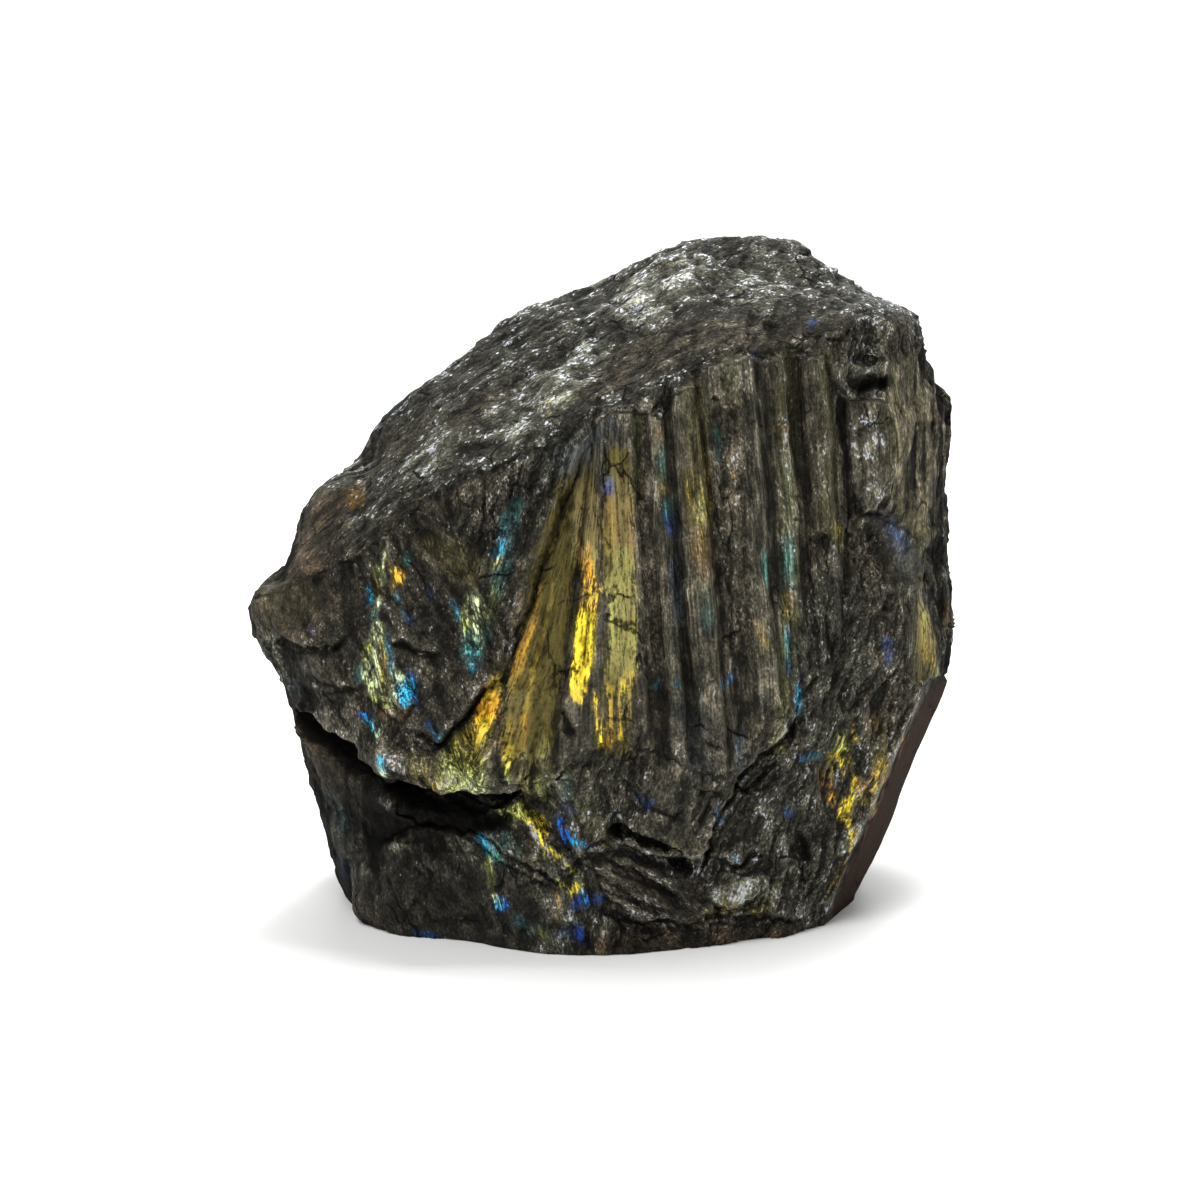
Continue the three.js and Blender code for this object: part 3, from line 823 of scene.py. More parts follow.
    (((44.5, 26.5, 0.7), (50, 20.5, 0.8), (56.5, 14, 0.7)), (LIME, YELLOW, LIME), 0.95, 0.4),
    (((46.5, 25.5, 2.4), (50.5, 22.5, 2)), (LIME, YELLOW), 0.85, 0.6),
    (((50.2, 21.5, 0.5), (50.5, 16.5, 0.5)), (YELLOW, LIME), 0.8, 0.4),
    (((40, 20, 2.2), (42.5, 17.5, 2.4)), (CYAN, TEAL), 0.75, 0.7),
    (((41, 16, 1.8), (41.5, 12, 1.2)), (LIME, OLIVE), 0.55),
    (((44, 19.5, 3), (52, 13.5, 3)), (TEAL, OLIVE, SLATE), 0.3, 1.2),
    (((53, 13, 0.8), (56.5, 11.8, 1.4)), (LIME, YELLOW), 1, 0.4),
    (((56, 11.5, 1.4), (57.5, 10.5, 1.2)), (YELLOW, CYAN), 1, 0.4),
    (((55.5, 9.5, 1.6), (60, 9.8, 1.8)), (DEEP_BLUE, BLUE), 0.85, 0.6),
    (((53.2, 23, 1), (54.8, 20.3, 1.3), (58.5, 18.7, 1.1)), (BLUE, BLUE, CYAN, BLUE), 1, 0.5),
    (((54, 26, 0.8), (56, 24.5, 0.8)), (BLUE,), 0.6),
    (((42, 10.3, 1.6), (43.8, 8.8, 1.4)), (CREAM, CYAN, BLUE), 1, 0.4),
    (((53, 10.5, 1.4), (52.5, 7, 1.6)), (ORANGE, OLIVE), 0.6),
    (((46, 6.5, 1), (51, 3.5, 1), (55, 4.5, 1.2)), (CYAN, LIME, BLUE), 0.55, 1),
    (((56, 5, 1.8), (57, 3, 1.6)), (DEEP_BLUE,), 0.8),
    (((57, 25, 5), (60, 20, 4)), (OLIVE,), 0.3, 1.4),
    (((13, 15, 1),), (BLUE,), 0.7),
    (((29, 4, 1.2), (32, 3.5, 1)), (BLUE,), 0.7),
    # the rough ground on the right
    (((66.5, 27, 1.5), (69, 26.5, 1.2)), (BLUE,), 0.35),
    (((90, 39.5, 2.4), (90.5, 36, 2.2)), (OLIVE, LIME), 0.45),
    (((83.5, 38, 2), (84, 31, 2)), (SLATE,), 0.5),
    (((76, 42, 5), (76.5, 33, 5)), (SLATE,), 0.26, 2.5),
    (((69.8, 46.5, 0.9),), (CYAN,), 0.8),
    (((73.3, 46.3, 0.8),), (CYAN,), 0.8),
    (((81, 46.8, 0.9), (82.8, 48.3, 0.9)), (CYAN, BLUE), 0.8),
    (((93.7, 46, 0.8), (93.8, 41.5, 0.8)), (CYAN,), 0.75),
    (((80.5, 23.7, 0.8),), (CYAN,), 0.6),
    (((78.5, 8, 1.6), (88, 8.1, 1.6)), (OLIVE, GOLD, OLIVE), 0.55),
    (((88.6, 8.5, 1.2), (90.2, 13, 1)), (OLIVE,), 0.5),
    (((75.3, 17, 0.8), (77.2, 17, 0.8)), (CREAM,), 0.7, 0.4),
    (((83, 17, 0.7), (84, 16.5, 0.6)), (CYAN,), 0.7, 0.4),
    (((96.4, 37.2, 0.7),), (CREAM,), 0.8, 0.4),
    (((94, 36.8, 0.8), (94.2, 34.8, 0.8)), (ORANGE, BLUE), 0.6),
    (((92, 26.5, 1.2), (92.2, 24.5, 1.2)), (SLATE, BLUE), 0.5),
    (((80.3, 25.2, 1.4), (80.6, 23.3, 1.2)), (SLATE, BLUE), 0.5),
    # the gold that zigzags down beside the sawn facet
    (((101, 38.2, 1.4), (101.4, 36, 3.4), (100.6, 33.8, 2.6)), (OLIVE, LIME, YELLOW), 0.76, 0.6),
    (((99.5, 34.6, 1), (99.3, 31.4, 0.9)), (YELLOW, GOLD), 0.72, 0.5),
    (((102.7, 33.4, 0.8), (101.6, 31, 0.7)), (YELLOW, GOLD), 0.68, 0.5),
    (((103, 40.5, 0.5), (103.5, 37, 0.6)), (ORANGE, YELLOW), 0.68, 0.4),
    (((98.4, 30.6, 2.2), (99.4, 27.4, 2)), (ORANGE, AMBER), 0.58, 0.8),
    (((103.3, 29.6, 1.5), (102.4, 26.4, 1.8), (101.5, 24, 1.7), (102.5, 22.6, 1.3), (103.3, 21.2, 1.3),
     (102.4, 18.8, 1)), (GOLD, YELLOW, YELLOW, GOLD, YELLOW, OLIVE), 0.8, 0.5),
    (((103.5, 26.7, 0.9), (106.3, 26.3, 0.9)), (YELLOW, GOLD), 0.72, 0.4),
    (((104.9, 29.6, 2.2), (104.8, 27.4, 2.2)), (AMBER, OLIVE), 0.58, 0.7),
    (((108.3, 34.4, 1.6), (107.3, 31.7, 1.9), (106.7, 27.6, 1.2)), (GOLD, AMBER, GOLD), 0.68, 0.6),
    (((107, 39.5, 3), (107.5, 36.8, 2.6)), (ORANGE, OLIVE), 0.4, 1.2),
    (((109, 33, 1.2), (108.6, 26, 1.6)), (GOLD, AMBER, OLIVE), 0.6),
    (((98, 9.5, 0.5), (105.6, 22, 0.6), (112, 37, 0.7), (117, 46.5, 0.6)), (ORANGE, GOLD, ORANGE),
     0.6, 0.4),
    (((106.5, 21, 1.6), (110.5, 29.5, 2.4), (115.5, 42.5, 2.4)), (OLIVE, GOLD, OLIVE), 0.5, 1),
    (((118, 49.5, 1.6), (119, 46.5, 1.4)), (LIME, CREAM), 0.64, 0.6),
    (((107.5, 34, 1.5), (107, 28, 1.6)), (GOLD, OLIVE), 0.6),
    (((109, 54, 1.3), (109.2, 50.5, 1.2)), (BLUE,), 0.45),
    (((94.5, 34.5, 0.7), (97, 34.3, 0.8)), (CYAN,), 0.6),
    # on the top slope
    (((18.5, 78.5, 3),), (AMBER,), 0.3, 1.2),
    (((51, 94.5, 1.4), (55, 95.5, 1.2)), (GOLD, CREAM), 0.5),
    (((86.5, 102.5, 1.2),), (BLUE,), 0.6),
    (((96.5, 108.5, 1.8),), (BLUE, CREAM), 0.4),
)
FLASHES = tuple(Flash(*streak) for streak in STREAKS)


@dataclass(frozen=True)
class Ground:
    """One measure of the plain rock's texture: its usual value, what the top and the back add, its wander."""

    usual: float
    top: float = 0.0
    back: float = 0.0
    wander: Layers = ()


# glint and light are partly painted light: upward faces get more painted glints and are painted brighter, and
# the back is painted brighter; the rest of light is the rock's own tone
GROUNDS: dict[str, Ground] = {
    "coarse": Ground(1.0, top=-0.3, back=0.2),
    "glint": Ground(0.4, top=0.3, wander=((0.3, 9.0, 41),)),
    "brown": Ground(0.35, wander=((0.6, 16.0, 40),)),
    "dark": Ground(0.0),
    "fibre": Ground(0.25, back=0.35),
    "light": Ground(1.0, top=0.4, back=1.2, wander=((0.35, 12.0, 42),)),
}
# the texture on the ribs, on the slope over the ridge and on the sawn facet; the slope's glint is painted
# glints
RIBBED = {"coarse": 0.22, "glint": 0.2, "brown": 0.3, "fibre": 1.0, "light": 1.1}
SLOPING = {"coarse": 0.7, "glint": 0.56, "brown": 0.06, "fibre": 0.3, "light": 0.72}
SAWN = {"coarse": 0.0, "glint": 0.0, "brown": 1.0, "fibre": 0.5, "light": 0.85}


def blend(values: dict[str, Array], wanted: Mapping[str, Any], cover: Array) -> None:
    """Draws the values of a texture towards those that are wanted.

    Args:
        values: The values at each point, by name, which are changed.
        wanted: The wanted values. A name that isn't there, or has None, keeps its values.
        cover: How far to draw each point's values, from 0 to 1.
    """
    for name, now in values.items():
        if wanted.get(name) is not None:
            values[name] = now + cover * (wanted[name] - now)


@dataclass
class Skin:
    """What the finish needs to know at each point of the stone's surface."""

    # glint is painted glints, dark is painted shade, light is the rock's own tone with painted light on it,
    # and flash is painted sheen
    coarse: Array
    glint: Array
    brown: Array
    dark: Array
    fibre: Array
    light: Array
    sawn: Array
    flash: Array
    colour: Array
    bed: Array


@dataclass
class BrokenStone:
    """The stone's surface: ribs, plates and pits on the show face, and broken rock all round."""

    plan: ShowPlan = field(default_factory=ShowPlan)
    ribs: RibbedFace = field(default_factory=RibbedFace)
    grit: Grit = field(default_factory=Grit)
    ridge: Points = (
        (0, 60), (18.5, 67.5), (31, 78), (43, 83), (53.5, 88), (60, 92.5), (64.5, 94), (75.5, 99.5),
        (87.5, 103), (94, 103.5), (102.5, 105), (112, 110), (120, 112),
    )
    ridge_edge: Span = (-0.5, 1.5)
    raggedness: Sequence[Layers] = (((0.8, 4, 10), (0.35, 1.4, 12)), ((0.8, 4, 11), (0.35, 1.4, 13)))
    # which way the grain runs, in degrees, and where the ribs' own way takes over
    slope_turn: float = 54.0
    rock_turn: float = 14.0
    fan_even: float = 2.2
    mostly: float = 0.5
    ribbed_from: float = 0.4
    # the cleft, found on a grid of cells over the plan, and how dark the shade painted into it is
    recess_cell: float = 1.5
    recess_border: int = 4
    recess_grid: int = 100
    recess_reach: int = 6
    recess_slack: float = 0.9
    recess_depth: Span = (2.0, 6.0)
    recess_shade: float = 0.92
    # blocks, facets, ledges and grain, from large to small
    block_size: Triple = (13, 11, 15)
    block_ramp: float = 4.0
    block_floor: float = -0.4
    blocks: float = 2.0
    block_least: float = 0.25
    ledge_size: float = 4.2
    small_ledge_size: float = 1.7
    small_ledges: float = 0.45
    ledges: float = 0.95
    ledge_lean: float = 0.6
    ledge_wander: float = 0.8
    ledge_wander_size: float = 2.8
    ledge_drop: float = 0.16
    ledge_patch_size: float = 2.2
    ledge_patches: Triple = (0.55, 1.3, 1.2)
    chip_size: Triple = (3.4, 3.6, 6.5)
    chips: float = 0.7
    crumb_size: Triple = (1.3, 1.6, 2.6)
    crumbs: float = 0.24
    crumb_least: float = 0.1
    rear_sink: float = 2.0
    grain: Layers = ((1, (0.8, 0.9, 1.7), 30), (0.7, (0.5, 0.6, 1), 31))
    grain_height: float = 0.12
    # which way the surface faces, measured towards the eye or upward
    front_facing: Span = (-0.06, 0.04)
    ahead_facing: Span = (-0.35, 0.05)
    flash_facing: Span = (0.02, 0.2)
    rear_facing: Span = (-0.05, -0.45)
    top_facing: Span = (0.25, 0.75)
    # highlights painted on the rims of plates, shade painted into cracks and grooves, and the sawn facet
    # darker towards its foot
    rim_light: float = 1.1
    rim_glint: float = 0.45
    crack_depth: float = -0.2
    crack_width: float = 4.0
    cracks: float = 0.8
    least_groove: float = 0.1
    grooves: Sequence[tuple[float, Span]] = ((0.1, (-0.1, -1.0)), (0.4, (-1.0, -1.8)))
    sawn_foot: Span = (16.0, 4.0)
    sawn_foot_dark: float = 0.6
    sawn_dulling: float = 0.6
    # flashes
    fray: Sequence[Layers] = (((0.5, (1.6, 1.6, 4), 51),), ((1.62, (0.9, 2, 5), 50),))
    pooling: float = 0.5
    dull_hues: tuple[Hue, ...] = (DEEP_BLUE, BLUE, TEAL, OLIVE, GOLD)
    dull_shade: Layers = ((0.9, (16, 16, 26), 60),)
    dull_patches: Layers = ((1, (8, 8, 14), 61), (0.4, (2, 2, 5), 62))
    dull_edge: Span = (0.35, 0.75)
    dull: float = 0.55

    def shaken(self, points: Array, place: Array, shake: Sequence[Layers]) -> Array:
        """Moves places by the noise at their points, so that what is drawn there has a broken edge."""
        return place + np.stack([self.grit.layered(points, layers) for layers in shake], axis=1)

    def above(self, place: Array) -> Array:
        """The share of each place that lies on the granular slope above the ridge."""
        return ease(*self.ridge_edge, place[:, 1] - np.interp(place[:, 0], *zip(*self.ridge)))

    def bed(self, points: Array) -> Array:
        """Turns points so that the last part runs along the grain: up the ribs, and up the slope over them.

        Args:
            points: Points in space.

        Returns:
            The turned points, in millimetres.
        """
        place = self.plan.place(points)
        ragged = self.shaken(points, place, self.raggedness)
        turn = np.full(len(points), self.rock_turn)
        for zone in ZONES:
            if zone.turn is not None:
                turn = np.where(zone.cover(ragged) > self.mostly, zone.turn, turn)
        above = self.above(ragged) > self.mostly
        ribbed = (self.ribs.cover(ragged) > self.ribbed_from) & ~above
        turn = np.radians(np.where(above, self.slope_turn, np.where(ribbed, 0.0, turn)))
        upright = self.ribs.upright
        slant = self.ribs.slant(place)
        slant = np.where(slant < upright, upright + (slant - upright) * self.fan_even, slant)
        across, up = np.where(ribbed, slant, place[:, 0]), place[:, 1]
        over, along = across * np.cos(turn) - up * np.sin(turn), across * np.sin(turn) + up * np.cos(turn)
        return np.column_stack([over, points[:, 1], along])

    def recess(self, points: Array) -> Array:
        """Finds how far each point lies back under what hangs over it, as in the cleft.

        Args:
            points: Points in space.

        Returns:
            The depth in millimetres.
        """
        cells = (self.plan.place(points) / self.recess_cell).astype(int) + self.recess_border
        cells = tuple(np.clip(cells, 0, self.recess_grid - 1).T)
        away = -(points @ self.plan.towards)
        outer = np.full((self.recess_grid, self.recess_grid), np.inf)
        np.minimum.at(outer, cells, away)
        level = np.full_like(outer, np.inf)
        for across, down in itertools.product((-1, 0, 1), range(1, self.recess_reach + 1)):
            slack = self.recess_slack * math.hypot(across, down)
            level = np.minimum(level, np.roll(outer, (across, -down), axis=(0, 1)) + slack)
        return away - level[cells]

    def show_relief(self, points: Array) -> Array:
        """Finds how far the show face stands proud or is cut.

        Args:
            points: Points of the smooth stone.

        Returns:
            The relief towards the eye, in millimetres.
        """
        place = self.plan.place(points)
        ragged = self.shaken(points, place, self.raggedness)
        height = self.ribs.lift(place, self.grit)
        for mark in LIPS + SWELLS:
            height += mark.lift(ragged)
        return height

    def steps(self, points: Array, bed: Array, size: float, seed: int) -> Array:
        """Finds the height of ledges that run along the grain, each a slow rise and a sharp drop.

        Args:
            points: Points in space.
            bed: The same points turned to the grain.
            size: The usual width of a ledge.
            seed: Picks another pattern.

        Returns:
            The ledges' height, about -0.5 to 0.5.
        """
        wander = self.ledge_wander * size * self.grit.smooth(points, self.ledge_wander_size * size, seed)
        step = (bed[:, 0] + self.ledge_lean * bed[:, 1] + wander) / size % 1.0
        usual, change, most = self.ledge_patches
        patches = usual + change * self.grit.smooth(points, self.ledge_patch_size * size, seed + 1)
        return (step - 0.5) * ease(0.0, self.ledge_drop, step) * np.clip(patches, 0.0, most)

    def rock_relief(self, points: Array, skin: Skin) -> Array:
        """Finds the broken rock's relief along the surface's own normal.

        Args:
            points: Points in space.
            skin: The texture at each point.

        Returns:
            The relief in millimetres.
        """
        large = np.maximum(self.grit.facets(points, self.block_size, 1, self.block_ramp), self.block_floor)
        middle = self.grit.facets(skin.bed, self.chip_size, 2)
        small = self.grit.facets(skin.bed, self.crumb_size, 3)
        ledges = self.steps(points, skin.bed, self.ledge_size, 20)
        ledges = ledges + self.small_ledges * self.steps(points, skin.bed, self.small_ledge_size, 22)
        height = self.blocks * self._share(self.block_least, skin) * large
        height += skin.coarse * (self.ledges * ledges + self.chips * middle)
        height += self.crumbs * self._share(self.crumb_least, skin) * small
        return height - self.rear_sink * np.maximum(skin.coarse - 1.0, 0.0)

    def grain_relief(self, points: Array, skin: Skin) -> Array:
        """Finds the relief of the grain, the finest that the mesh can hold."""
        height = self.grain_height * self._share(self.block_least, skin)
        return height * self.grit.layered(skin.bed, self.grain)

    @staticmethod
    def _share(least: float, skin: Skin) -> Array:
        """How much of a relief each point takes: the least on a smooth face, and all of it on coarse rock."""
        return least + (1.0 - least) * skin.coarse

    def skin(self, points: Array, normals: Array, sawn: Array) -> Skin:
        """Works out the texture and the flashes at each point.

        Args:
            points: Points in space.
            normals: The smooth stone's normal at each point.
            sawn: The share of each point that belongs to the sawn facet.

        Returns:
            The stone's skin.
        """
        place = self.plan.place(points)
        ragged = self.shaken(points, place, self.raggedness)
        facing = normals @ self.plan.towards
        front, ahead = ease(*self.front_facing, facing), ease(*self.ahead_facing, facing)
        rear, top = ease(*self.rear_facing, facing), ease(*self.top_facing, normals[:, 2])
        values = {
            name: plain.usual + plain.top * top + self.grit.layered(points, plain.wander) + plain.back * rear
            for name, plain in GROUNDS.items()
        }
        blend(values, RIBBED, self.ribs.cover(place) * ahead)
        blend(values, SLOPING, self.above(place) * ahead)
        for zone in ZONES:
            blend(values, vars(zone), zone.cover(ragged) * ahead)
        # highlights painted along the edges of the plates
        rim = np.max([lip.rim(ragged) for lip in LIPS], axis=0) * front
        values["light"] = values["light"] + self.rim_light * rim
        values["glint"] = values["glint"] + self.rim_glint * rim
        # painted shade: the cleft, cracks, pits, grooves and marked zones are painted dark; the sawn facet is
        # painted darker towards its foot
        deep = ease(*self.recess_depth, self.recess(points))
        foot = self.sawn_foot_dark * sawn * ease(*self.sawn_foot, points[:, 2])
        darks = [values["dark"], front * self.crack_shade(ragged, place), self.recess_shade * deep, foot]
        values["dark"] = np.maximum.reduce(darks)
        blend(values, SAWN, sawn)
        flash, colour = self.flashes(points, place, ease(*self.flash_facing, facing) * (1.0 - deep))
        flash *= 1.0 - self.sawn_dulling * sawn
        return Skin(**values, sawn=sawn, flash=flash, colour=colour, bed=self.bed(points))

    def crack_shade(self, ragged: Array, place: Array) -> Array:
        """How much painted shade the cracks, pits and grooves leave at each place.

        Args:
            ragged: The shaken places, for what is drawn with a broken edge.
            place: The true places, for the ribs.

        Returns:
            A share from 0 to 1.
        """
        depth = np.zeros(len(ragged))
        for lip in LIPS:
            depth = np.maximum(depth, -lip.lift(ragged) / max(lip.groove, self.least_groove) * self.cracks)
        for swell in SWELLS:
            if swell.rise < self.crack_depth and swell.path[0][2] < self.crack_width:
                depth = np.maximum(depth, self.cracks * swell.lift(ragged) / swell.rise)
        sunk = np.interp(self.ribs.slant(place), *zip(*self.ribs.section))
        grooved = sum(amount * ease(*span, sunk) for amount, span in self.grooves)
        return np.clip(np.maximum(depth, grooved * self.ribs.cover(place)), 0.0, 1.0)

    def flashes(self, points: Array, place: Array, front: Array) -> tuple[Array, Array]:
        """Paints every flash as painted sheen, with its ends frayed along the cleavage.

        Args:
            points: Points in space.
            place: Where those points fall on the plan.
            front: The share of each point that faces the eye.

        Returns:
            How strongly each point flashes, and its colour.
        """
        frayed = self.shaken(points, place, self.fray)
        flash, colour = self.dull_flashes(points)
        flash *= 1.0 - front
        for streak in FLASHES:
            rows, covered, hue = streak.paint(frayed)
            covered = covered * front[rows]
            share = covered / np.maximum(covered + flash[rows] * (1.0 - covered), 1e-6)
            colour[rows] += share[:, None] * (hue - colour[rows])
            flash[rows] = np.maximum(covered, flash[rows] + covered * (1.0 - flash[rows]) * self.pooling)
        return flash, colour

    def dull_flashes(self, points: Array) -> tuple[Array, Array]:
        """Scatters dull flashes of painted sheen over the sides and the back.

        Args:
            points: Points in space.

        Returns:
            How strongly each point flashes, and its colour.
        """
        shade = np.clip(0.5 + self.grit.layered(points, self.dull_shade), 0.0, 1.0)
        patches = self.grit.layered(points, self.dull_patches)
        return self.dull * ease(*self.dull_edge, patches), graded(self.dull_hues, shade)


class Wire:
    """A shader value that can be used in sums, products and powers."""

    def __init__(self, bench: NodeBench, socket: Socket) -> None:
        """Keeps the output socket and the bench that it lies on."""
        self.bench = bench
        self.socket = socket

    def _join(self, operation: str, *values: Any) -> Wire:
        """Lays a Math node over the values, in their order."""
        return self.bench.value("ShaderNodeMath", {"operation": operation}, dict(enumerate(values)))

    def __add__(self, other: Any) -> Wire:
        """Adds."""
        return self._join("ADD", self, other)

    __radd__ = __add__

    def __sub__(self, other: Any) -> Wire:
        """Takes away."""
        return self._join("SUBTRACT", self, other)

    def __rsub__(self, other: Any) -> Wire:
        """Takes this from the other."""
        return self._join("SUBTRACT", other, self)

    def __mul__(self, other: Any) -> Wire:
        """Multiplies."""
        return self._join("MULTIPLY", self, other)

    __rmul__ = __mul__

    def __pow__(self, power: Any) -> Wire:
        """Raises to a power."""
        return self._join("POWER", self, power)

    def __rpow__(self, base: float) -> Wire:
        """Raises a number to this power."""
        return self._join("POWER", base, self)

    def eased(self, low: float, high: float) -> Wire:
        """Rises smoothly from 0 at low to 1 at high."""
        inputs = {"Value": self, "From Min": low, "From Max": high}
        return self.bench.value("ShaderNodeMapRange", {"interpolation_type": "SMOOTHSTEP"}, inputs)

    def ramp(self, ends: Pair) -> Wire:
        """Runs straight from the first end, where the value is 0, to the second, where it is 1."""
        return ends[0] + (ends[1] - ends[0]) * self

    def clipped(self) -> Wire:
        """Holds the value between 0 and 1."""
        return self.bench.value("ShaderNodeClamp", {}, {"Value": self, "Min": 0.0, "Max": 1.0})


class NodeBench:
    """Lays down the nodes of one material."""

    def __init__(self, name: str) -> None:
        """Starts a material with nothing but its output."""
        self.material = bpy.data.materials.new(name)
        self.material.use_nodes = True
        self.tree = self.material.node_tree
        self.tree.nodes.clear()

    def node(self, kind: str, settings: Mapping[str, Any], inputs: Mapping[Any, Any]) -> bpy.types.Node:
        """Lays down one node.

        Args:
            kind: The node's type.
            settings: Its own settings, which are set first.
            inputs: A value, a wire or a socket for each input, by name or number.

        Returns:
            The node.
        """
        made = self.tree.nodes.new(kind)
        for name, value in settings.items():
            setattr(made, name, value)
        for name, value in inputs.items():
            target = made.inputs[name]
            if isinstance(value, Wire):
                value = value.socket
            if isinstance(value, Socket):
                self.tree.links.new(value, target)
            else:
                target.default_value = value
        return made

    def value(self, kind: str, settings: Mapping[str, Any], inputs: Mapping[Any, Any]) -> Wire:
        """Lays down one node and gives its first output as a wire."""
        return Wire(self, self.node(kind, settings, inputs).outputs[0])

    def attribute(self, name: str) -> bpy.types.Node:
        """Reads one of the mesh's own attributes."""
        return self.node("ShaderNodeAttribute", {"attribute_name": name}, {})

    def parts(self, colour: Socket) -> list[Wire]:
        """Splits a colour into its red, green and blue."""
        split = self.node("ShaderNodeSeparateColor", {}, {"Color": colour})
        return [Wire(self, output) for output in split.outputs]

    def grey(self, level: Wire) -> Socket:
        """Turns a value into a grey of that brightness."""
        return self.node("ShaderNodeCombineColor", {}, dict.fromkeys(range(3), level)).outputs[0]

    def mix(self, factor: Any, first: Any, second: Any, blend_type: str = "MIX") -> Socket:
        """Mixes two colours, each a socket or red, green, blue and alpha, by the second one's share."""
        settings = {"data_type": "RGBA", "blend_type": blend_type}
        return self.node("ShaderNodeMix", settings, {0: factor, 6: first, 7: second}).outputs[2]

    def shaded(self, colour: Any, level: Wire) -> Socket:
        """Multiplies a colour by a value."""
        return self.mix(1.0, colour, self.grey(level), "MULTIPLY")

    def vector(self, operation: str, *vectors: Any) -> Socket:
        """Lays a Vector Math node over the vectors, in their order."""
        inputs = dict(enumerate(vectors))
        return self.node("ShaderNodeVectorMath", {"operation": operation}, inputs).outputs[0]

    def noise(self, vector: Any, detail: float = 2.0) -> Wire:
        """Lays a noise texture at scale 1 over a vector."""
        inputs = {"Vector": vector, "Scale": 1.0, "Detail": detail, "Roughness": 0.6}
        return self.value("ShaderNodeTexNoise", {}, inputs)

    def wander(self, vector: Any, scale: float, detail: float, amount: float) -> Socket:
        """Moves a vector about by coloured noise.

        Args:
            vector: The vector.
            scale: How many humps of the noise there are to each unit of it.
            detail: The noise's detail.
            amount: How far the noise moves it.

        Returns:
            The moved vector's socket.
        """
        inputs = {"Vector": vector, "Scale": scale, "Detail": detail}
        noise = self.node("ShaderNodeTexNoise", {}, inputs).outputs["Color"]
        return self.vector("MULTIPLY_ADD", noise, (amount, amount, amount), vector)

    def finished(self, shader: bpy.types.Node) -> Material:
        """Gives the material, with the shader as its surface."""
        self.node("ShaderNodeOutputMaterial", {}, {"Surface": shader.outputs["BSDF"]})
        return self.material


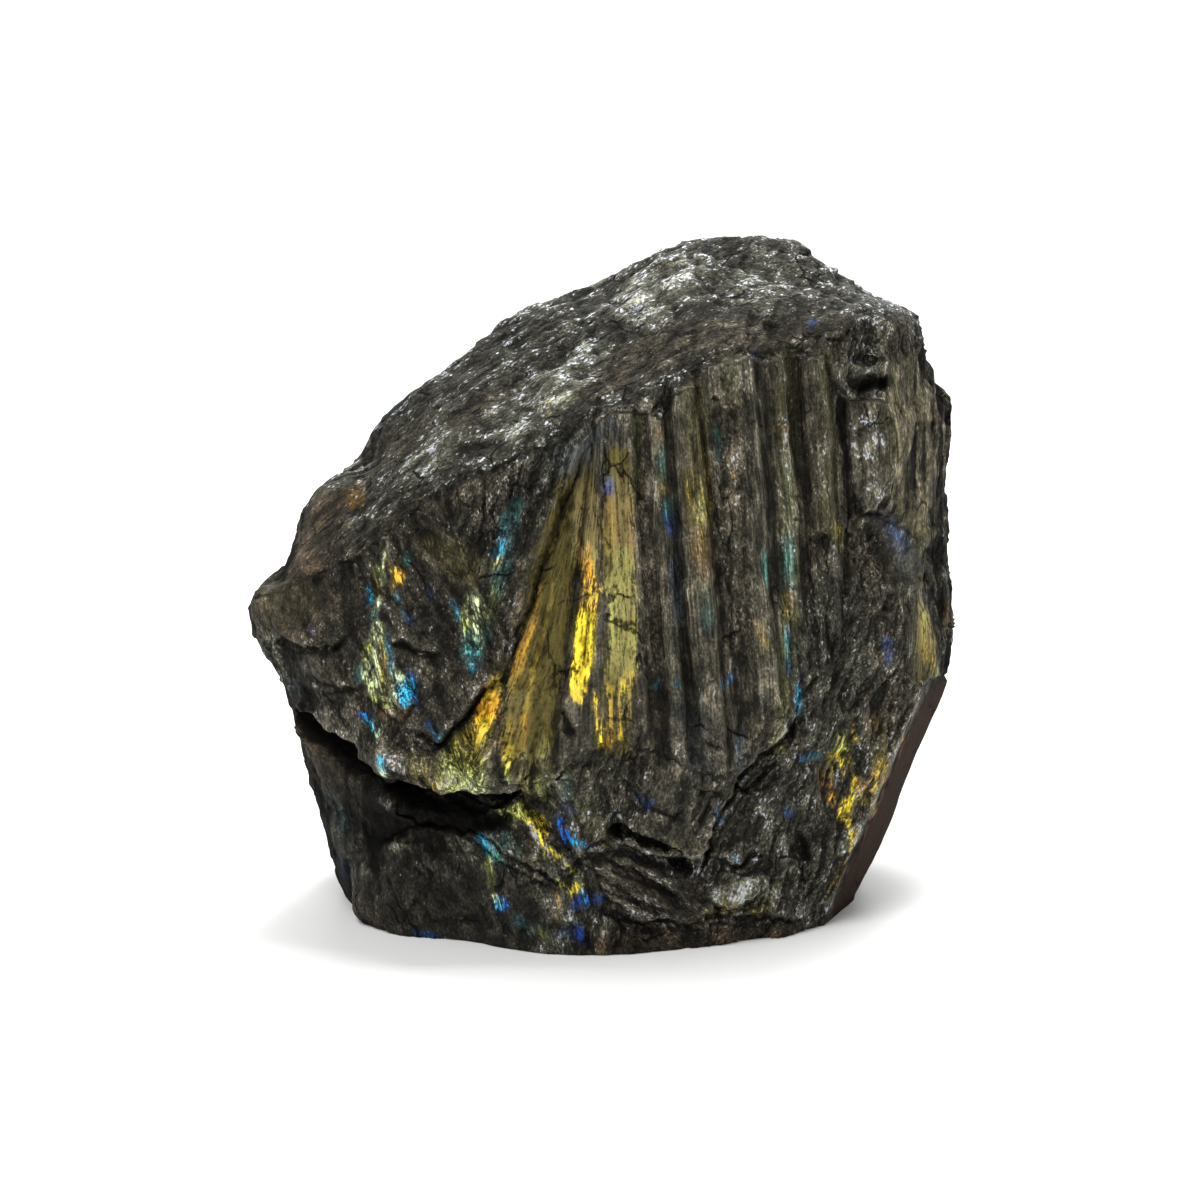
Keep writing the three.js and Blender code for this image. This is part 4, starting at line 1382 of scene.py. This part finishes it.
@dataclass(frozen=True)
class LabradoriteFinish:
    """Dark granular stone with painted silvery glints, and painted flashes broken up by their own fibres."""

    name: str = "rough labradorite"
    body: Triple = (0.0395, 0.0385, 0.0285)
    brown: Triple = (0.058, 0.042, 0.026)
    cut: Triple = (0.305, 0.158, 0.090)
    # near black, painted as the shade in cracks, hollows, grooves and the cleft
    painted_shade: Triple = (0.0018, 0.0015, 0.0013)
    # the colour of the painted glints, highlights painted onto the grains
    painted_glint: Triple = (0.61, 0.65, 0.72)
    # the size of grains and fibres in millimetres: across, in depth and along the grain
    grain_mm: Triple = (0.34, 0.38, 0.62)
    fibre_mm: Triple = (0.48, 0.48, 12.0)
    # how many humps or cells there are to a millimetre, the same three ways
    fine_scale: Triple = (3.0, 2.8, 1.7)
    patch_scale: Triple = (0.34, 0.32, 0.2)
    crack_scale: Triple = (0.13, 0.12, 0.075)
    crack_place_scale: Triple = (0.12, 0.12, 0.12)
    # how coloured noise moves the grains and the cracks about: its scale, its detail and how far
    grain_wander: Triple = (1.3, 1.0, 1.1)
    crack_wander: Triple = (0.35, 4.0, 2.6)
    crack_places: Span = (0.50, 0.62)
    crack_edge: Span = (0.005, 0.026)
    crack_share: float = 0.85
    # the mottled rock, and what its swings go from on a smooth face to on coarse rock
    brightness: float = 1.075
    mottling: float = 50.0
    fine_swing: Pair = (0.7, 1.6)
    luck_swing: Pair = (1.4, 2.6)
    patch_swing: float = 1.5
    fibre_swing: float = 1.2
    brown_patches: Pair = (-0.3, 1.7)
    # the painted glints: bright silver specks painted into the colour where luck and fine noise add up to more
    # than a limit
    glint_limit: float = 1.13
    glint_gain: float = 0.36
    glint_patches: Span = (0.38, 0.62)
    glint_part: float = 0.7
    glint_edge: float = 7.0
    # the sawn facet's streaks
    cut_swing: float = 8.0
    cut_fine: float = 0.6
    cut_middle: float = 0.8
    # the flashes and their threads, and the glow painted onto their brightest threads
    thread_parts: Triple = (0.62, 0.26, 0.12)
    fibre_edge: Span = (0.34, 0.66)
    fine_edge: Span = (0.36, 0.64)
    thread_limit: float = 1.15
    thread_edge: float = 2.4
    plane_threads: Pair = (0.3, 1.7)
    plane_light: float = 0.34
    thread_light: float = 0.74
    thread_tones: Pair = (0.45, 1.35)
    glow: float = 0.45
    # gloss, and how far the sawn facet, the glints, the flashes and the cracks change it
    roughness: float = 0.62
    roughness_changes: tuple[float, ...] = (0.3, 0.3, 0.12, 0.3)
    flash_metal: float = 0.4
    glint_metal: float = 0.5
    specular: float = 0.12
    # relief: the parts of grains, fibres and cracks beside the fine noise, and the tilt of single grains
    relief_parts: Triple = (0.3, 0.5, 1.2)
    grain_tips: Pair = (0.3, 1.0)
    grain_tilt: float = 0.4
    bump_mm: float = 0.4

    def material(self) -> Material:
        """Builds the material.

        Returns:
            The finished material, which reads the stone's own colour attributes.
        """
        bench = NodeBench(self.name)
        bed = bench.attribute("bed").outputs["Vector"]
        texture, tone, flash = (bench.attribute(name).outputs for name in ("texture", "tone", "flash"))
        glint, brown, dark = bench.parts(texture["Color"])
        light, coarse, sawn = bench.parts(tone["Color"])
        fibrous = Wire(bench, texture["Alpha"])

        grains = bench.vector("MULTIPLY", bed, tuple(1 / size for size in self.grain_mm))
        grains = bench.wander(grains, *self.grain_wander)
        cells = bench.node("ShaderNodeTexVoronoi", {}, {"Vector": grains, "Scale": 1.0}).outputs["Color"]
        luck = bench.parts(cells)[0]
        fine = bench.noise(bench.vector("MULTIPLY", bed, self.fine_scale), 3.0)
        patchy = bench.noise(bench.vector("MULTIPLY", bed, self.patch_scale), 4.0)
        fibre = bench.noise(bench.vector("MULTIPLY", bed, tuple(1 / size for size in self.fibre_mm)))
        hair = self._hairlines(bench, bed)

        swing = (fine - 0.5) * coarse.ramp(self.fine_swing) + (patchy - 0.5) * self.patch_swing
        swing = swing + (fibre - 0.5) * fibrous * self.fibre_swing
        # light is the rock's own tone with painted light on it: painted highlights, and tops, edges and the
        # back painted brighter
        mottle = light * (LIGHT_SCALE * self.brightness) * self.mottling**swing
        mottle = mottle * coarse.ramp(self.luck_swing) ** (luck - 0.5)
        rusty = brown * patchy.ramp(self.brown_patches).clipped()
        rock = bench.shaded(bench.mix(rusty, (*self.body, 1.0), (*self.brown, 1.0)), mottle)
        # painted glints: silver specks painted into the rock's colour, thickest where the glint attribute is
        # high
        limit = self.glint_limit - self.glint_gain * glint * patchy.eased(*self.glint_patches)
        shine = self.glint_part * luck + self.glint_part * fine - limit
        painted_glints = (shine * self.glint_edge).clipped() * (1 - sawn)
        rock = bench.mix(painted_glints, rock, (*self.painted_glint, 1.0))
        streaks = self.cut_swing ** (fibre + self.cut_fine * fine - self.cut_middle)
        rock = bench.mix(sawn, rock, bench.shaded((*self.cut, 1.0), streaks))

        by_fibre, by_fine, by_luck = self.thread_parts
        threads = by_fibre * fibre.eased(*self.fibre_edge) + by_fine * fine.eased(*self.fine_edge)
        threads = threads + by_luck * luck
        strength = FLASH_SCALE * Wire(bench, flash["Alpha"])
        lit = ((threads + strength - self.thread_limit) * self.thread_edge).clipped()
        plane = self.plane_light * strength * threads.ramp(self.plane_threads)
        lit = (plane + self.thread_light * lit).clipped()
        # how much painted shade covers each place, from the dark attribute and the hairline cracks
        depth = (dark + hair * (1 - dark)).clipped()
        # the flash colour, a painted sheen, mixed into the rock's colour
        coloured = bench.mix(lit, rock, bench.shaded(flash["Color"], threads.ramp(self.thread_tones)))

        by_grain, by_thread, by_crack = self.relief_parts
        relief = fine + by_grain * luck + by_thread * fibre * fibrous - by_crack * hair
        tipped = self._grain_normal(bench, cells, coarse)
        inputs = {"Strength": 1.0, "Distance": self.bump_mm * MM, "Height": relief, "Normal": tipped}
        bump = bench.node("ShaderNodeBump", {}, inputs)
        by_cut, by_glint, by_flash, by_crack = self.roughness_changes
        roughness = self.roughness + by_cut * sawn - by_glint * painted_glints - by_flash * lit + by_crack * depth
        inputs = {
            "Base Color": bench.mix(depth, coloured, (*self.painted_shade, 1.0)),
            "Roughness": roughness.clipped(),
            "Metallic": (self.flash_metal * lit + self.glint_metal * painted_glints).clipped(),
            # painted glow: the brightest flash threads glow by emission, though the stone is no lamp
            "Emission Color": bench.shaded(flash["Color"], self.glow * lit**2.0 * threads * (1 - depth)),
            "Emission Strength": 1.0,
            "Specular IOR Level": self.specular,
            "Normal": bump.outputs["Normal"],
        }
        return bench.finished(bench.node("ShaderNodeBsdfPrincipled", {}, inputs))

    def _hairlines(self, bench: NodeBench, bed: Socket) -> Wire:
        """Draws hairline cracks, here and there, where the grain has parted, painted dark as the shade inside
        them.

        Args:
            bench: Where the nodes are laid.
            bed: The place in the stone, turned to the grain.

        Returns:
            The share of the surface that is crack.
        """
        cell = bench.vector("MULTIPLY", bench.wander(bed, *self.crack_wander), self.crack_scale)
        inputs = {"Vector": cell, "Scale": 1.0}
        edge = bench.value("ShaderNodeTexVoronoi", {"feature": "DISTANCE_TO_EDGE"}, inputs)
        here = bench.noise(bench.vector("MULTIPLY", bed, self.crack_place_scale)).eased(*self.crack_places)
        return (1 - edge.eased(*self.crack_edge)) * here * self.crack_share

    def _grain_normal(self, bench: NodeBench, draw: Socket, coarse: Wire) -> Socket:
        """Tips the surface a different way in each grain, so that the grains catch the light one by one.

        Args:
            bench: Where the nodes are laid.
            draw: Each grain's random colour.
            coarse: How coarse the rock is.

        Returns:
            The tipped normal's socket.
        """
        normal = bench.node("ShaderNodeNewGeometry", {}, {}).outputs["Normal"]
        tip = bench.grey(coarse.ramp(self.grain_tips) * self.grain_tilt)
        tipped = bench.vector("MULTIPLY_ADD", bench.vector("SUBTRACT", draw, (0.5, 0.5, 0.5)), tip, normal)
        return bench.vector("NORMALIZE", tipped)


@dataclass(frozen=True)
class PaleFinish:
    """Matt pale paint for the floor."""

    name: str = "pale floor"
    colour: Triple = (0.82, 0.82, 0.81)
    shade: Triple = (0.70, 0.70, 0.70)
    scale: Triple = (3.0, 3.0, 3.0)
    cloudiness: float = 0.04
    roughness: float = 0.9

    def material(self) -> Material:
        """Builds the material, with a trace of unevenness."""
        bench = NodeBench(self.name)
        place = bench.node("ShaderNodeTexCoord", {}, {}).outputs["Object"]
        cloud = bench.noise(bench.vector("MULTIPLY", place, self.scale))
        tone = bench.mix(self.cloudiness * cloud, (*self.colour, 1.0), (*self.shade, 1.0))
        inputs = {"Base Color": tone, "Roughness": self.roughness}
        return bench.finished(bench.node("ShaderNodeBsdfPrincipled", {}, inputs))


@dataclass(frozen=True)
class SawnFacet:
    """The flat facet low on the right, which looks sawn: its plane, and its rough edge on the plan."""

    plan: ShowPlan = field(default_factory=ShowPlan)
    way: Triple = (0.884, -0.350, -0.310)
    depth: float = 40.3
    edge: Points = (
        (97.5, 0), (98.6, 4.5), (102, 14.5), (105.2, 21.5), (108.2, 28), (111.5, 36), (117, 47), (127, 50.5),
    )
    leaning: Span = (0.5, 0.65)
    proudness: Span = (-3.0, -2.0)
    crispness: Span = (-0.3, 0.2)
    top: Span = (49.5, 44.0)
    left: Span = (30.0, 33.0)
    fall: float = 0.3
    trim_reach: Span = (26.0, 5.0)
    trim_top: Span = (60.0, 46.0)
    trim_left: Span = (26.0, 32.0)

    def cover(self, points: Array, normals: Array) -> Array:
        """Finds the share of each point that belongs to the facet, which faces right and a little down.

        Args:
            points: Points in space.
            normals: The smooth stone's normal at each point.

        Returns:
            A share from 0 to 1.
        """
        way = np.array(self.way)
        right, _, _ = trace(self.edge, self.plan.place(points))
        facing = ease(*self.leaning, normals @ way) * ease(*self.proudness, points @ way - self.depth)
        beside = facing * ease(*self.crispness, -right)
        return beside * ease(*self.top, points[:, 2]) * ease(*self.left, points[:, 0])

    def trimmed(self, points: Array) -> Array:
        """Trims the rock beside the facet, so that the facet's edge stands clear.

        Args:
            points: The smooth points.

        Returns:
            The points, with none proud of the rough slope that falls away from the edge.
        """
        right, _, _ = trace(self.edge, self.plan.place(points))
        limit = self.depth - self.fall * np.maximum(right, 0.0)
        proud = np.maximum(points @ np.array(self.way) - limit, 0.0)
        beside = ease(*self.trim_reach, right) * ease(*self.trim_top, points[:, 2])
        beside *= ease(*self.trim_left, points[:, 0])
        return points - (beside * proud)[:, None] * self.way

    def cut(self, points: Array, cover: Array) -> Array:
        """Gives the worked points with those that the facet covers moved to its plane."""
        proud = points @ np.array(self.way) - self.depth
        return points - (cover * proud)[:, None] * self.way


@dataclass(frozen=True)
class BakeCharts:
    """Six flat charts of the stone, one for each way it faces, laid out as one map of its surface."""

    layer: str = "OFBake"
    ways: Points = ((0, -0.98, 0.2), (0, 1, 0), (-1, 0, 0), (1, 0, 0), (0, 0.2, 1), (0, 0, -1))
    # each chart's lower left corner and its size
    places: Points = (
        (0.005, 0.375, 0.62, 0.62), (0.005, 0.005, 0.36, 0.36), (0.375, 0.005, 0.245, 0.36),
        (0.63, 0.005, 0.245, 0.36), (0.64, 0.72, 0.355, 0.275), (0.64, 0.4, 0.355, 0.3),
    )
    steep: float = 0.7

    def lay(self, mesh: Mesh, normals: Array) -> None:
        """Gives every face its place in the charts.

        Args:
            mesh: The stone's mesh.
            normals: The smooth stone's normal at each point.
        """
        corner_point = read(mesh.loops, "vertex_index", 1, int)
        totals, starts = (read(mesh.polygons, name, 1, int) for name in ("loop_total", "loop_start"))
        face_normals = np.add.reduceat(normals[corner_point], starts, axis=0)
        points = read(mesh.vertices, "co", 3)[corner_point]
        ways = np.array(self.ways, float)
        chart = np.repeat(np.argmax(face_normals @ ways.T, axis=1), totals)
        places = np.zeros((len(corner_point), 2))
        for number, (way, place) in enumerate(zip(ways, self.places)):
            rows = chart == number
            across = np.cross([0.0, 0.0, 1.0] if abs(way[2]) < self.steep else [0.0, -1.0, 0.0], way)
            across /= np.linalg.norm(across)
            upward = np.cross(way / np.linalg.norm(way), across)
            flat = points[rows] @ np.column_stack([across, upward])
            least = flat.min(axis=0)
            places[rows] = place[:2] + (flat - least) * min(place[2:] / (flat.max(axis=0) - least))
        write(mesh.uv_layers.new(name=self.layer).data, "uv", places)


@dataclass
class Chunk:
    """The whole stone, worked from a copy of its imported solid."""

    solid: Object
    stone: BrokenStone = field(default_factory=BrokenStone)
    facet: SawnFacet = field(default_factory=SawnFacet)
    finish: LabradoriteFinish = field(default_factory=LabradoriteFinish)
    charts: BakeCharts = field(default_factory=BakeCharts)
    voxel_mm: float = 0.5
    quick_voxel_mm: float = 0.9
    smoothing: int = 9
    quick_smoothing: int = 3
    most_faces: int = 198_000
    base_mm: Span = (0.96, 0.6)
    base_height: Span = (3.0, 0.4)
    base_facing: Span = (-0.5, -0.9)
    middle_height: float = 50.0
    front_facing: Span = (0.05, 0.35)
    outer_facing: Span = (0.35, 0.75)
    hanging_facing: Span = (0.4, -0.2)
    # how much a point is worth keeping at least, what the front adds, and the steps that it is written in
    worth: Pair = (0.55, 0.45)
    worth_facing: Span = (-0.2, 0.3)
    worth_steps: int = 8
    # shade painted into hollows and highlights painted onto edges, with how much of the glint and light stays
    # and how much a full edge adds
    averaging: Pair = (0.4, 0.6)
    near_rounds: int = 5
    wide_rounds: int = 30
    near_depth: float = 0.10
    wide_depth: float = 0.45
    hollow: Span = (0.15, 1.6)
    hollow_shade: float = 0.6
    edge: Span = (0.0, 1.4)
    edge_glint: Pair = (0.8, 0.6)
    edge_light: Pair = (0.85, 0.5)

    def build(self) -> Object:
        """Builds, dresses and places the stone.

        Returns:
            The finished piece.
        """
        mesh = self.blank()
        points, _ = self.shape(mesh)
        self.move(mesh, self.facet.trimmed(points))
        points, normals = self.shape(mesh)
        self.carve(mesh, points, normals)
        piece = self.thinned(mesh, normals)
        self.dress(piece)
        return piece

    def blank(self) -> Mesh:
        """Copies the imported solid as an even, softened mesh.

        Returns:
            The mesh to work on.
        """
        blank = placed("blank", self.solid.data.copy())
        remesh = blank.modifiers.new("even", "REMESH")
        remesh.mode = "VOXEL"
        remesh.voxel_size = self.voxel_mm * MM
        soften = blank.modifiers.new("soften", "SMOOTH")
        soften.factor = 0.5
        soften.iterations = self.smoothing
        return self._applied(blank)

    @staticmethod
    def _applied(thing: Object) -> Mesh:
        """Gives an object's mesh with its modifiers applied, and removes the object."""
        bpy.context.view_layer.update()
        mesh = bpy.data.meshes.new_from_object(thing.evaluated_get(bpy.context.evaluated_depsgraph_get()))
        bpy.data.objects.remove(thing)
        return mesh

    @staticmethod
    def shape(mesh: Mesh) -> tuple[Array, Array]:
        """Reads a mesh's points, in millimetres, and its normals."""
        return read(mesh.vertices, "co", 3) / MM, read(mesh.vertex_normals, "vector", 3)

    @staticmethod
    def move(mesh: Mesh, points: Array) -> None:
        """Moves a mesh's points to the given places, in millimetres."""
        write(mesh.vertices, "co", points * MM)
        mesh.update()

    def carve(self, mesh: Mesh, points: Array, normals: Array) -> None:
        """Works the smooth mesh into broken rock.

        Args:
            mesh: The mesh, which is changed.
            points: Its smooth points.
            normals: Its normal at each point.
        """
        plan = self.stone.plan
        place = plan.place(points)
        sawn = self.facet.cover(points, normals)
        free = 1.0 - ease(*self.base_height, points[:, 2]) * ease(*self.base_facing, normals[:, 2])
        skin = self.stone.skin(points, normals, sawn)
        front = ease(*self.front_facing, normals @ plan.towards) * (1.0 - sawn) * free
        moved = points + (front * self.stone.show_relief(points))[:, None] * plan.towards
        rock = self.stone.rock_relief(points, skin) * (1.0 - sawn) * free
        outward = points - np.array([0.0, 0.0, self.middle_height])
        outward[:, 1] = 0.0
        outer = ease(*self.outer_facing, np.sum(unit(outward) * normals, axis=1))
        rock += sum(dent.depth(place) for dent in DENTS) * free * outer
        rock += sum(dent.depth(place) for dent in HANGING) * ease(*self.hanging_facing, normals[:, 2])
        moved = self.facet.cut(moved + rock[:, None] * normals, sawn)
        self.move(mesh, moved)
        _, rough_normals = self.shape(mesh)
        grain = self.stone.grain_relief(moved, skin) * free
        self.move(mesh, self.fitted(moved + grain[:, None] * rough_normals))

    def fitted(self, points: Array) -> Array:
        """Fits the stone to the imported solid's box and flattens its base.

        Args:
            points: The worked points.

        Returns:
            The fitted points.
        """
        low, high = (np.array(corner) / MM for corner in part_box(PIECE))
        least, most = points.min(axis=0), points.max(axis=0)
        points = low + (points - least) * (high - low) / (most - least)
        points[:, 2] *= 1.0 - ease(*self.base_mm, points[:, 2])
        return points

    def thinned(self, mesh: Mesh, normals: Array) -> Object:
        """Thins the mesh, keeping the show face dense.

        Args:
            mesh: The worked mesh.
            normals: The smooth stone's normals, kept as an attribute for later.

        Returns:
            The piece.
        """
        write(mesh.attributes.new(SMOOTH_NORMAL, "FLOAT_VECTOR", "POINT").data, "vector", normals)
        rough = placed("rough", mesh)
        group = rough.vertex_groups.new(name="keep")
        least, more = self.worth
        worth = least + more * ease(*self.worth_facing, normals @ self.stone.plan.towards)
        for step in range(self.worth_steps):
            rows = np.nonzero((worth * (self.worth_steps - 0.01)).astype(int) == step)[0]
            group.add(rows.tolist(), (step + 0.5) / self.worth_steps, "REPLACE")
        thin = rough.modifiers.new("thin", "DECIMATE")
        thin.ratio = min(1.0, self.most_faces / (2 * len(mesh.polygons)))
        thin.vertex_group = "keep"
        thin.invert_vertex_group = True
        thin.vertex_group_factor = 1.0
        thin.use_collapse_triangulate = True
        return placed(PIECE + "_stone", self._applied(rough))

    def age(self, mesh: Mesh, skin: Skin) -> None:
        """Paints shade into the hollows and highlights onto the edges, which are found from the shape itself.

        Args:
            mesh: The stone's mesh.
            skin: The texture, which is changed.
        """
        points, normals = self.shape(mesh)
        near_by = self.softened(mesh, points, self.near_rounds)
        wide = self.softened(mesh, near_by, self.wide_rounds)
        sunk = np.sum((near_by - points) * normals, axis=1) / self.near_depth
        sunk += np.sum((wide - points) * normals, axis=1) / self.wide_depth
        skin.dark = 1.0 - (1.0 - skin.dark) * (1.0 - self.hollow_shade * ease(*self.hollow, sunk))
        edge = ease(*self.edge, -sunk)
        skin.glint *= self.edge_glint[0] + self.edge_glint[1] * edge
        skin.light *= self.edge_light[0] + self.edge_light[1] * edge

    def softened(self, mesh: Mesh, values: Array, rounds: int) -> Array:
        """Averages values over each point's neighbours, round after round.

        Args:
            mesh: The mesh whose edges join the neighbours.
            values: One row for each point.
            rounds: How many times to average.

        Returns:
            The softened values.
        """
        first, second = read(mesh.edges, "vertices", 2, int).T
        count = len(values)
        joined = np.bincount(first, minlength=count) + np.bincount(second, minlength=count)
        own, others = self.averaging
        for _ in range(rounds):
            sums = [
                np.bincount(first, part[second], count) + np.bincount(second, part[first], count)
                for part in values.T
            ]
            values = own * values + others * np.stack(sums, axis=1) / np.maximum(joined, 1)[:, None]
        return values

    def dress(self, piece: Object) -> None:
        """Lays the texture, the flashes, the bake map and the finish on the piece.

        Args:
            piece: The stone.
        """
        mesh = piece.data
        points, _ = self.shape(mesh)
        kept = mesh.attributes[SMOOTH_NORMAL]
        normals = unit(read(kept.data, "vector", 3))
        mesh.attributes.remove(kept)
        skin = self.stone.skin(points, normals, self.facet.cover(points, normals))
        self.age(mesh, skin)
        # texture holds painted glints and painted shade beside the brown and the fibre, and tone holds light,
        # which is partly painted light
        layers = {
            "flash": [skin.colour, skin.flash / FLASH_SCALE],
            "texture": [skin.glint, skin.brown, skin.dark, skin.fibre],
            "tone": [skin.light / LIGHT_SCALE, skin.coarse, skin.sawn, np.ones(len(points))],
        }
        for name, parts in layers.items():
            layer = mesh.color_attributes.new(name, "FLOAT_COLOR", "POINT")
            write(layer.data, "color", np.clip(np.column_stack(parts), 0.0, 1.0))
        write(mesh.attributes.new("bed", "FLOAT_VECTOR", "POINT").data, "vector", skin.bed)
        mesh.shade_smooth()
        self.charts.lay(mesh, normals)
        mesh.materials.clear()
        mesh.materials.append(self.finish.material())


@dataclass
class Studio:
    """The pale floor, the soft lights and the camera."""

    plan: ShowPlan = field(default_factory=ShowPlan)
    finish: PaleFinish = field(default_factory=PaleFinish)
    floor_radius: float = 9.0
    floor_sides: int = 96
    floor_drop: float = 0.0001
    frame_width: float = 0.2043
    sensor: float = 36.0
    nearest: float = 0.01
    aim: Triple = (0.0, 0.0, 0.05)
    sky: tuple[float, ...] = (0.95, 0.95, 0.96, 1.0)
    sky_strength: float = 0.5

    def build_floor(self) -> Object:
        """Lays a round pale floor under the stone."""
        turns = [2.0 * math.pi * step / self.floor_sides for step in range(self.floor_sides)]
        radius = self.floor_radius
        ring = [(radius * math.cos(turn), radius * math.sin(turn), 0.0) for turn in turns]
        mesh = bpy.data.meshes.new("floor")
        mesh.from_pydata(ring, [], [tuple(range(self.floor_sides))])
        mesh.materials.append(self.finish.material())
        floor = placed("floor", mesh)
        floor.location.z = -self.floor_drop
        return floor

    def hang_light(self, name: str, place: Triple, size: float, power: float) -> None:
        """Hangs a square soft light that looks at the stone.

        Args:
            name: The light's name.
            place: Where it hangs, in metres.
            size: The side of the square.
            power: Its power in watts.
        """
        light = placed(name, bpy.data.lights.new(name, "AREA"))
        light.data.size = size
        light.data.energy = power
        light.location = place
        light.rotation_euler = (Vector(self.aim) - Vector(place)).to_track_quat("-Z", "Y").to_euler()

    def hang_sun(self, name: str, way: Triple, spread: float, strength: float) -> None:
        """Lights the floor and the stone evenly from one side.

        Args:
            name: The light's name.
            way: The way to the light.
            spread: How wide the light looks, in degrees.
            strength: Its strength.
        """
        sun = placed(name, bpy.data.lights.new(name, "SUN"))
        sun.data.angle = math.radians(spread)
        sun.data.energy = strength
        sun.rotation_euler = Vector(way).to_track_quat("Z", "Y").to_euler()

    def build_sky(self) -> None:
        """Surrounds the stone with plain pale light."""
        world = bpy.data.worlds.new("pale room")
        world.use_nodes = True
        light = world.node_tree.nodes["Background"].inputs
        light["Color"].default_value = self.sky
        light["Strength"].default_value = self.sky_strength
        bpy.context.scene.world = world

    def build_camera(self) -> None:
        """Sets the camera a little above the front of the stone."""
        aim = Vector(self.plan.aim) * MM
        camera = placed("camera", bpy.data.cameras.new("camera"))
        camera.data.sensor_width = self.sensor
        camera.data.lens = self.sensor * self.plan.eye_distance * MM / self.frame_width
        camera.data.clip_start = self.nearest
        camera.location = aim + Vector(self.plan.towards) * self.plan.eye_distance * MM
        camera.rotation_euler = (aim - camera.location).to_track_quat("-Z", "Y").to_euler()
        bpy.context.scene.camera = camera

    def build(self) -> None:
        """Sets up the whole studio."""
        self.build_floor()
        self.build_sky()
        self.hang_sun("soft key", (-0.35, -0.55, 1.0), 30.0, 2.0)
        self.hang_sun("soft fill", (0.15, 0.95, 0.35), 40.0, 2.8)
        self.hang_light("overhead softbox", (0.05, 0.15, 0.7), 0.3, 5.0)
        self.build_camera()
        view = bpy.context.scene.view_settings
        view.view_transform = "Standard"
        view.look = "None"


def main() -> None:
    """Builds the stone and its studio in order, and reports each piece."""
    logging.basicConfig(level=logging.INFO, format="%(name)s: %(message)s")
    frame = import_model()
    chunk = Chunk(frame["nodes"][PIECE])
    piece = chunk.build()
    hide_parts(PIECE)
    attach(piece, "root")
    LOG.info("%s: %d faces", piece.name, len(piece.data.polygons))
    Studio().build()
    LOG.info("studio: floor, lights and camera")


if __name__ == "__main__":
    main()
